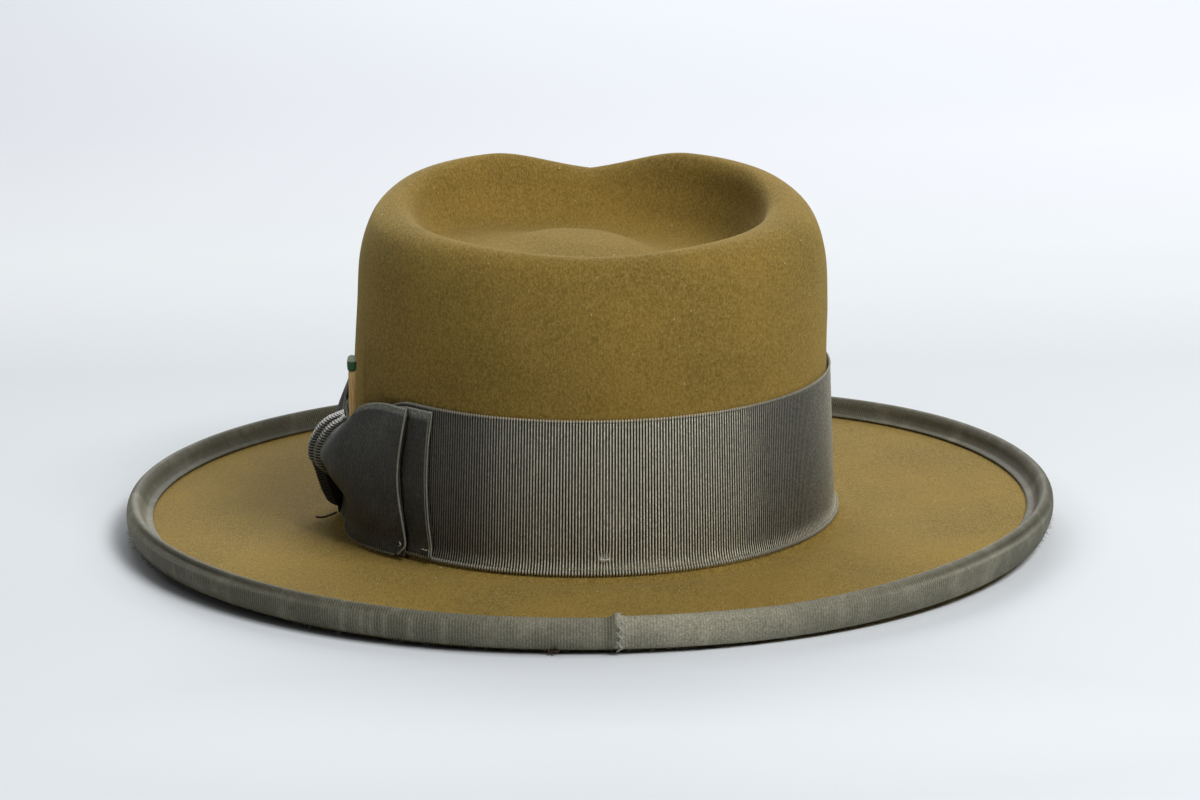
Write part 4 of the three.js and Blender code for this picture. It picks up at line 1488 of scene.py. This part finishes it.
# Bare wood with an upright grain, and a gritty head that turns from green to grey at its tip
def makeMatchMaterials():
    wood, tree, shader = newMaterial("paleWood", 0.7, 0.3)
    place = addNode(tree, "ShaderNodeTexCoord").outputs["Object"]
    mapping = {"Vector": place, "Scale": matchFinish["grainStretch"]}
    stretched = addNode(tree, "ShaderNodeMapping", mapping).outputs[0]
    grain = addNoise(tree, stretched, *matchFinish["grain"])
    bare = addMix(tree, addRange(tree, grain, *matchFinish["grainRange"]), *matchFinish["wood"])
    tree.links.new(bare, shader.inputs["Base Color"])
    addBump(tree, shader, grain, *matchFinish["woodBump"])
    tip, tree, shader = newMaterial("matchTip", 0.65, 0.35)
    place, split = addPlace(tree)
    grit = addNoise(tree, place, *matchFinish["grit"])
    wander = addMath(tree, "MULTIPLY", addMath(tree, "SUBTRACT", grit, 0.5), matchFinish["greyWander"])
    pale = addRange(tree, addMath(tree, "ADD", split["Z"], wander), *matchFinish["greyHeights"])
    green = addMix(tree, grit, *matchFinish["green"])
    grey = addMix(tree, grit, *matchFinish["grey"])
    tree.links.new(addMix(tree, pale, green, grey), shader.inputs["Base Color"])
    addBump(tree, shader, grit, *matchFinish["tipBump"])
    return wood, tip


# The stick is a rounded square carried upwards, and the head an outline turned about the same axis
def makeMatch():
    wood, tip = makeMatchMaterials()
    angle = math.radians(matchStick["angle"])
    stickTop = matchStick["high"] - matchStick["headLength"]
    middle = (matchStick["low"] + stickTop) / 2
    seat = bandRibbon["clearance"] + bandRibbon["thickness"]
    centre = bandPoint(np.array(angle), middle, seat + matchStick["out"])
    corner = 2 * np.pi * (np.arange(matchStick["sides"]) + 0.5) / matchStick["sides"]
    square = np.stack([np.cos(corner), np.sin(corner)], -1)
    square = np.sign(square) * np.abs(square) ** matchStick["squareness"] * matchStick["width"] / 2
    turned = square @ np.array([[math.cos(angle), math.sin(angle)], [-math.sin(angle), math.cos(angle)]])
    heights = np.linspace(matchStick["low"], stickTop, matchStick["rows"])[:, None]
    shrink = np.where((heights == heights[0]) | (heights == heights[-1]), matchStick["endShare"], 1.0)
    stick = stacked(centre[0] + turned[:, 0] * shrink, centre[1] + turned[:, 1] * shrink, heights)
    addCapped("match_wood", stick, wood, ("match_stick",))
    outline = smoothLine(matchStick["headOutline"], matchStick["headSteps"])
    turn = 2 * np.pi * np.arange(matchStick["headSides"]) / matchStick["headSides"]
    radius = (outline[:, 0] * matchStick["headRadius"])[:, None]
    heights = (stickTop + matchStick["headGap"] + outline[:, 1] * matchStick["headLength"])[:, None]
    head = stacked(centre[0] + radius * np.cos(turn), centre[1] + radius * np.sin(turn), heights)
    addCapped("match_tip", head, tip, ("match_head",))


makeMatch()
print("match made")

# The photograph's camera: it stands behind the hat and looks down a little
cameraSetup = {
    "elevation": 12.2,
    "azimuth": 1.85,
    "roll": -0.47,
    "target": (-4.0, 0.0, 43.9),
    "distance": 1500.0,
    "lens": 126.3,
    "sensor": 36.0,
    "clip": (0.05, 60.0),
}


# The camera looks along a direction with an elevation and an azimuth, then rolls about it
def makeCamera():
    elevation, azimuth, roll = (math.radians(cameraSetup[key]) for key in ("elevation", "azimuth", "roll"))
    level = math.cos(elevation)
    backwards = Vector((math.sin(azimuth) * level, math.cos(azimuth) * level, math.sin(elevation)))
    right = (-backwards).cross(Vector((0, 0, 1))).normalized()
    up = right.cross(-backwards)
    rolledRight = right * math.cos(roll) + up * math.sin(roll)
    rolledUp = up * math.cos(roll) - right * math.sin(roll)
    place = (Vector(cameraSetup["target"]) + backwards * cameraSetup["distance"]) * metresPerMm
    data = bpy.data.cameras.new("camera")
    data.lens = cameraSetup["lens"]
    data.sensor_width = cameraSetup["sensor"]
    data.clip_start, data.clip_end = cameraSetup["clip"]
    camera = bpy.data.objects.new("camera", data)
    columns = [axis.to_4d() for axis in (rolledRight, rolledUp, backwards, place)]
    camera.matrix_world = Matrix([[column[row] for column in columns] for row in range(3)] + [[0, 0, 0, 1]])
    bpy.context.scene.collection.objects.link(camera)
    bpy.context.scene.camera = camera


# A pale floor, in metres. Its colour changes with the distance behind the hat, and a little from left to
# right there: painted light and shade. It is paler just before the hat: a painted light spot. Two painted
# shadows lie round the hat's oval, and each fades out between two shares of its size: a dark one at the
# contact, which also ends over a stretch of X on its left and on its right, and a faint wide one.
floorFinish = {
    "half": 8.0,
    "colours": [
        [0.4, (230, 234, 239)],
        [0.0, (227, 232, 236)],
        [-0.18, (224, 229, 233)],
        [-0.27, (221, 226, 230)],
        [-0.42, (229, 233, 237)],
        [-0.55, (230, 235, 238)],
        [-0.7, (228, 231, 236)],
        [-0.87, (223, 226, 231)],
        [-1.06, (215, 218, 224)],
        [-1.3, (206, 209, 215)],
        [-1.6, (194, 197, 203)],
    ],
    "slantFrom": -0.5,
    "slantTo": -0.9,
    "slantWidth": 0.6,
    "slantShare": 0.14,
    "litSpotMiddle": (0.0, 0.262, 0.0),
    "litSpotHalf": (0.19, 0.075, 1.0),
    "litSpotShare": 0.13,
    "hatHalf": (0.1639, 0.1795, 1.0),
    "contact": (0.985, 1.025),
    "contactShare": 0.7,
    "contactLeft": (0.145, 0.166),
    "contactRight": (-0.04, 0.05),
    "shade": (1.0, 1.14),
    "shadeShare": 0.07,
}


# How far each point is from a middle, as a share of the half widths of an oval round it
def addOvalShare(tree, place, middle, half):
    away = addNode(tree, "ShaderNodeVectorMath", {0: place, 1: middle}, operation="SUBTRACT").outputs[0]
    away = addNode(tree, "ShaderNodeVectorMath", {0: away, 1: half}, operation="DIVIDE").outputs[0]
    return addNode(tree, "ShaderNodeVectorMath", {0: away}, operation="LENGTH").outputs["Value"]


# The floor's material: a ramp of painted light along Y, times one plus the slant, the lit spot and the two
# painted shadows
def makeFloorMaterial():
    material, tree, shader = newMaterial("paleFloor", 0.9, 0.0)
    place, split = addPlace(tree)
    colours = floorFinish["colours"]
    first, last = colours[0][0], colours[-1][0]
    ramp = addNode(tree, "ShaderNodeValToRGB", {0: addRange(tree, split["Y"], first, last)})
    stops = ramp.color_ramp.elements
    while len(stops) < len(colours):
        stops.new(0.5)
    for stop, (distance, colour) in zip(stops, colours):
        stop.position = (first - distance) / (first - last)
        stop.color = paint(*colour)
    # Painted light and shade across X on the far floor
    far = addRange(tree, split["Y"], floorFinish["slantFrom"], floorFinish["slantTo"])
    half, share = floorFinish["slantWidth"], floorFinish["slantShare"]
    slant = addMath(tree, "MULTIPLY", far, addRange(tree, split["X"], -half, half, share, -share))
    # Painted light: a paler spot on the floor just before the hat
    away = addOvalShare(tree, place, floorFinish["litSpotMiddle"], floorFinish["litSpotHalf"])
    litSpot = addRange(tree, away, 1.0, 0.0, 0.0, floorFinish["litSpotShare"])
    under = addOvalShare(tree, place, (0.0, 0.0, 0.0), floorFinish["hatHalf"])
    contact = addRange(tree, under, *floorFinish["contact"], -floorFinish["contactShare"], 0.0)
    contact = addMath(tree, "MULTIPLY", contact, addRange(tree, split["X"], *floorFinish["contactRight"]))
    left = addRange(tree, split["X"], *floorFinish["contactLeft"], 1.0, 0.0)
    contact = addMath(tree, "MULTIPLY", contact, left)
    shade = addRange(tree, under, *floorFinish["shade"], -floorFinish["shadeShare"], 0.0)
    scale = addMath(tree, "ADD", addMath(tree, "ADD", slant, litSpot), 1.0)
    scale = addMath(tree, "ADD", addMath(tree, "ADD", contact, shade), scale)
    tree.links.new(addScaled(tree, ramp.outputs[0], scale), shader.inputs["Base Color"])
    return material


# The floor: one square face, which isn't part of the hat
def makeFloor():
    half = floorFinish["half"]
    mesh = bpy.data.meshes.new("floor")
    corners = [(-half, -half, 0), (half, -half, 0), (half, half, 0), (-half, half, 0)]
    mesh.from_pydata(corners, [], [(0, 1, 2, 3)])
    mesh.materials.append(makeFloorMaterial())
    floor = bpy.data.objects.new("floor", mesh)
    bpy.context.scene.collection.objects.link(floor)


# Soft studio light: each lamp's place in metres, its size and its power. All aim at the hat's middle.
lamps = {
    "rightFront": {"place": (-1.2, 1.0, 2.0), "size": 1.2, "power": 52.0},
    "behind": {"place": (0.0, -2.4, 1.2), "size": 1.6, "power": 52.0},
    "rightBack": {"place": (-1.5, -1.0, 1.5), "size": 1.2, "power": 3.5},
    "leftBack": {"place": (1.4, -1.2, 1.6), "size": 1.2, "power": 3.5},
    "leftFront": {"place": (1.5, 1.5, 1.3), "size": 1.2, "power": 6.0},
}
lampAim = Vector((0.0, 0.0, 0.05))
sky = {"colour": (0.95, 0.975, 1.0, 1.0), "strength": 0.02}


# The lamps, each turned to the aim and hidden from the camera, and an even, faint sky
def makeLights():
    for name, lamp in lamps.items():
        data = bpy.data.lights.new(name, "AREA")
        data.shape = "SQUARE"
        data.size = lamp["size"]
        data.energy = lamp["power"]
        made = bpy.data.objects.new(name, data)
        made.location = lamp["place"]
        direction = lampAim - Vector(lamp["place"])
        made.rotation_euler = direction.to_track_quat("-Z", "Y").to_euler()
        made.visible_camera = False
        bpy.context.scene.collection.objects.link(made)
    world = bpy.data.worlds.new("studio")
    world.use_nodes = True
    background = world.node_tree.nodes["Background"]
    background.inputs["Color"].default_value = sky["colour"]
    background.inputs["Strength"].default_value = sky["strength"]
    bpy.context.scene.world = world


makeCamera()
makeFloor()
makeLights()
bpy.context.scene.view_settings.view_transform = "Standard"
print("camera, floor and light made")
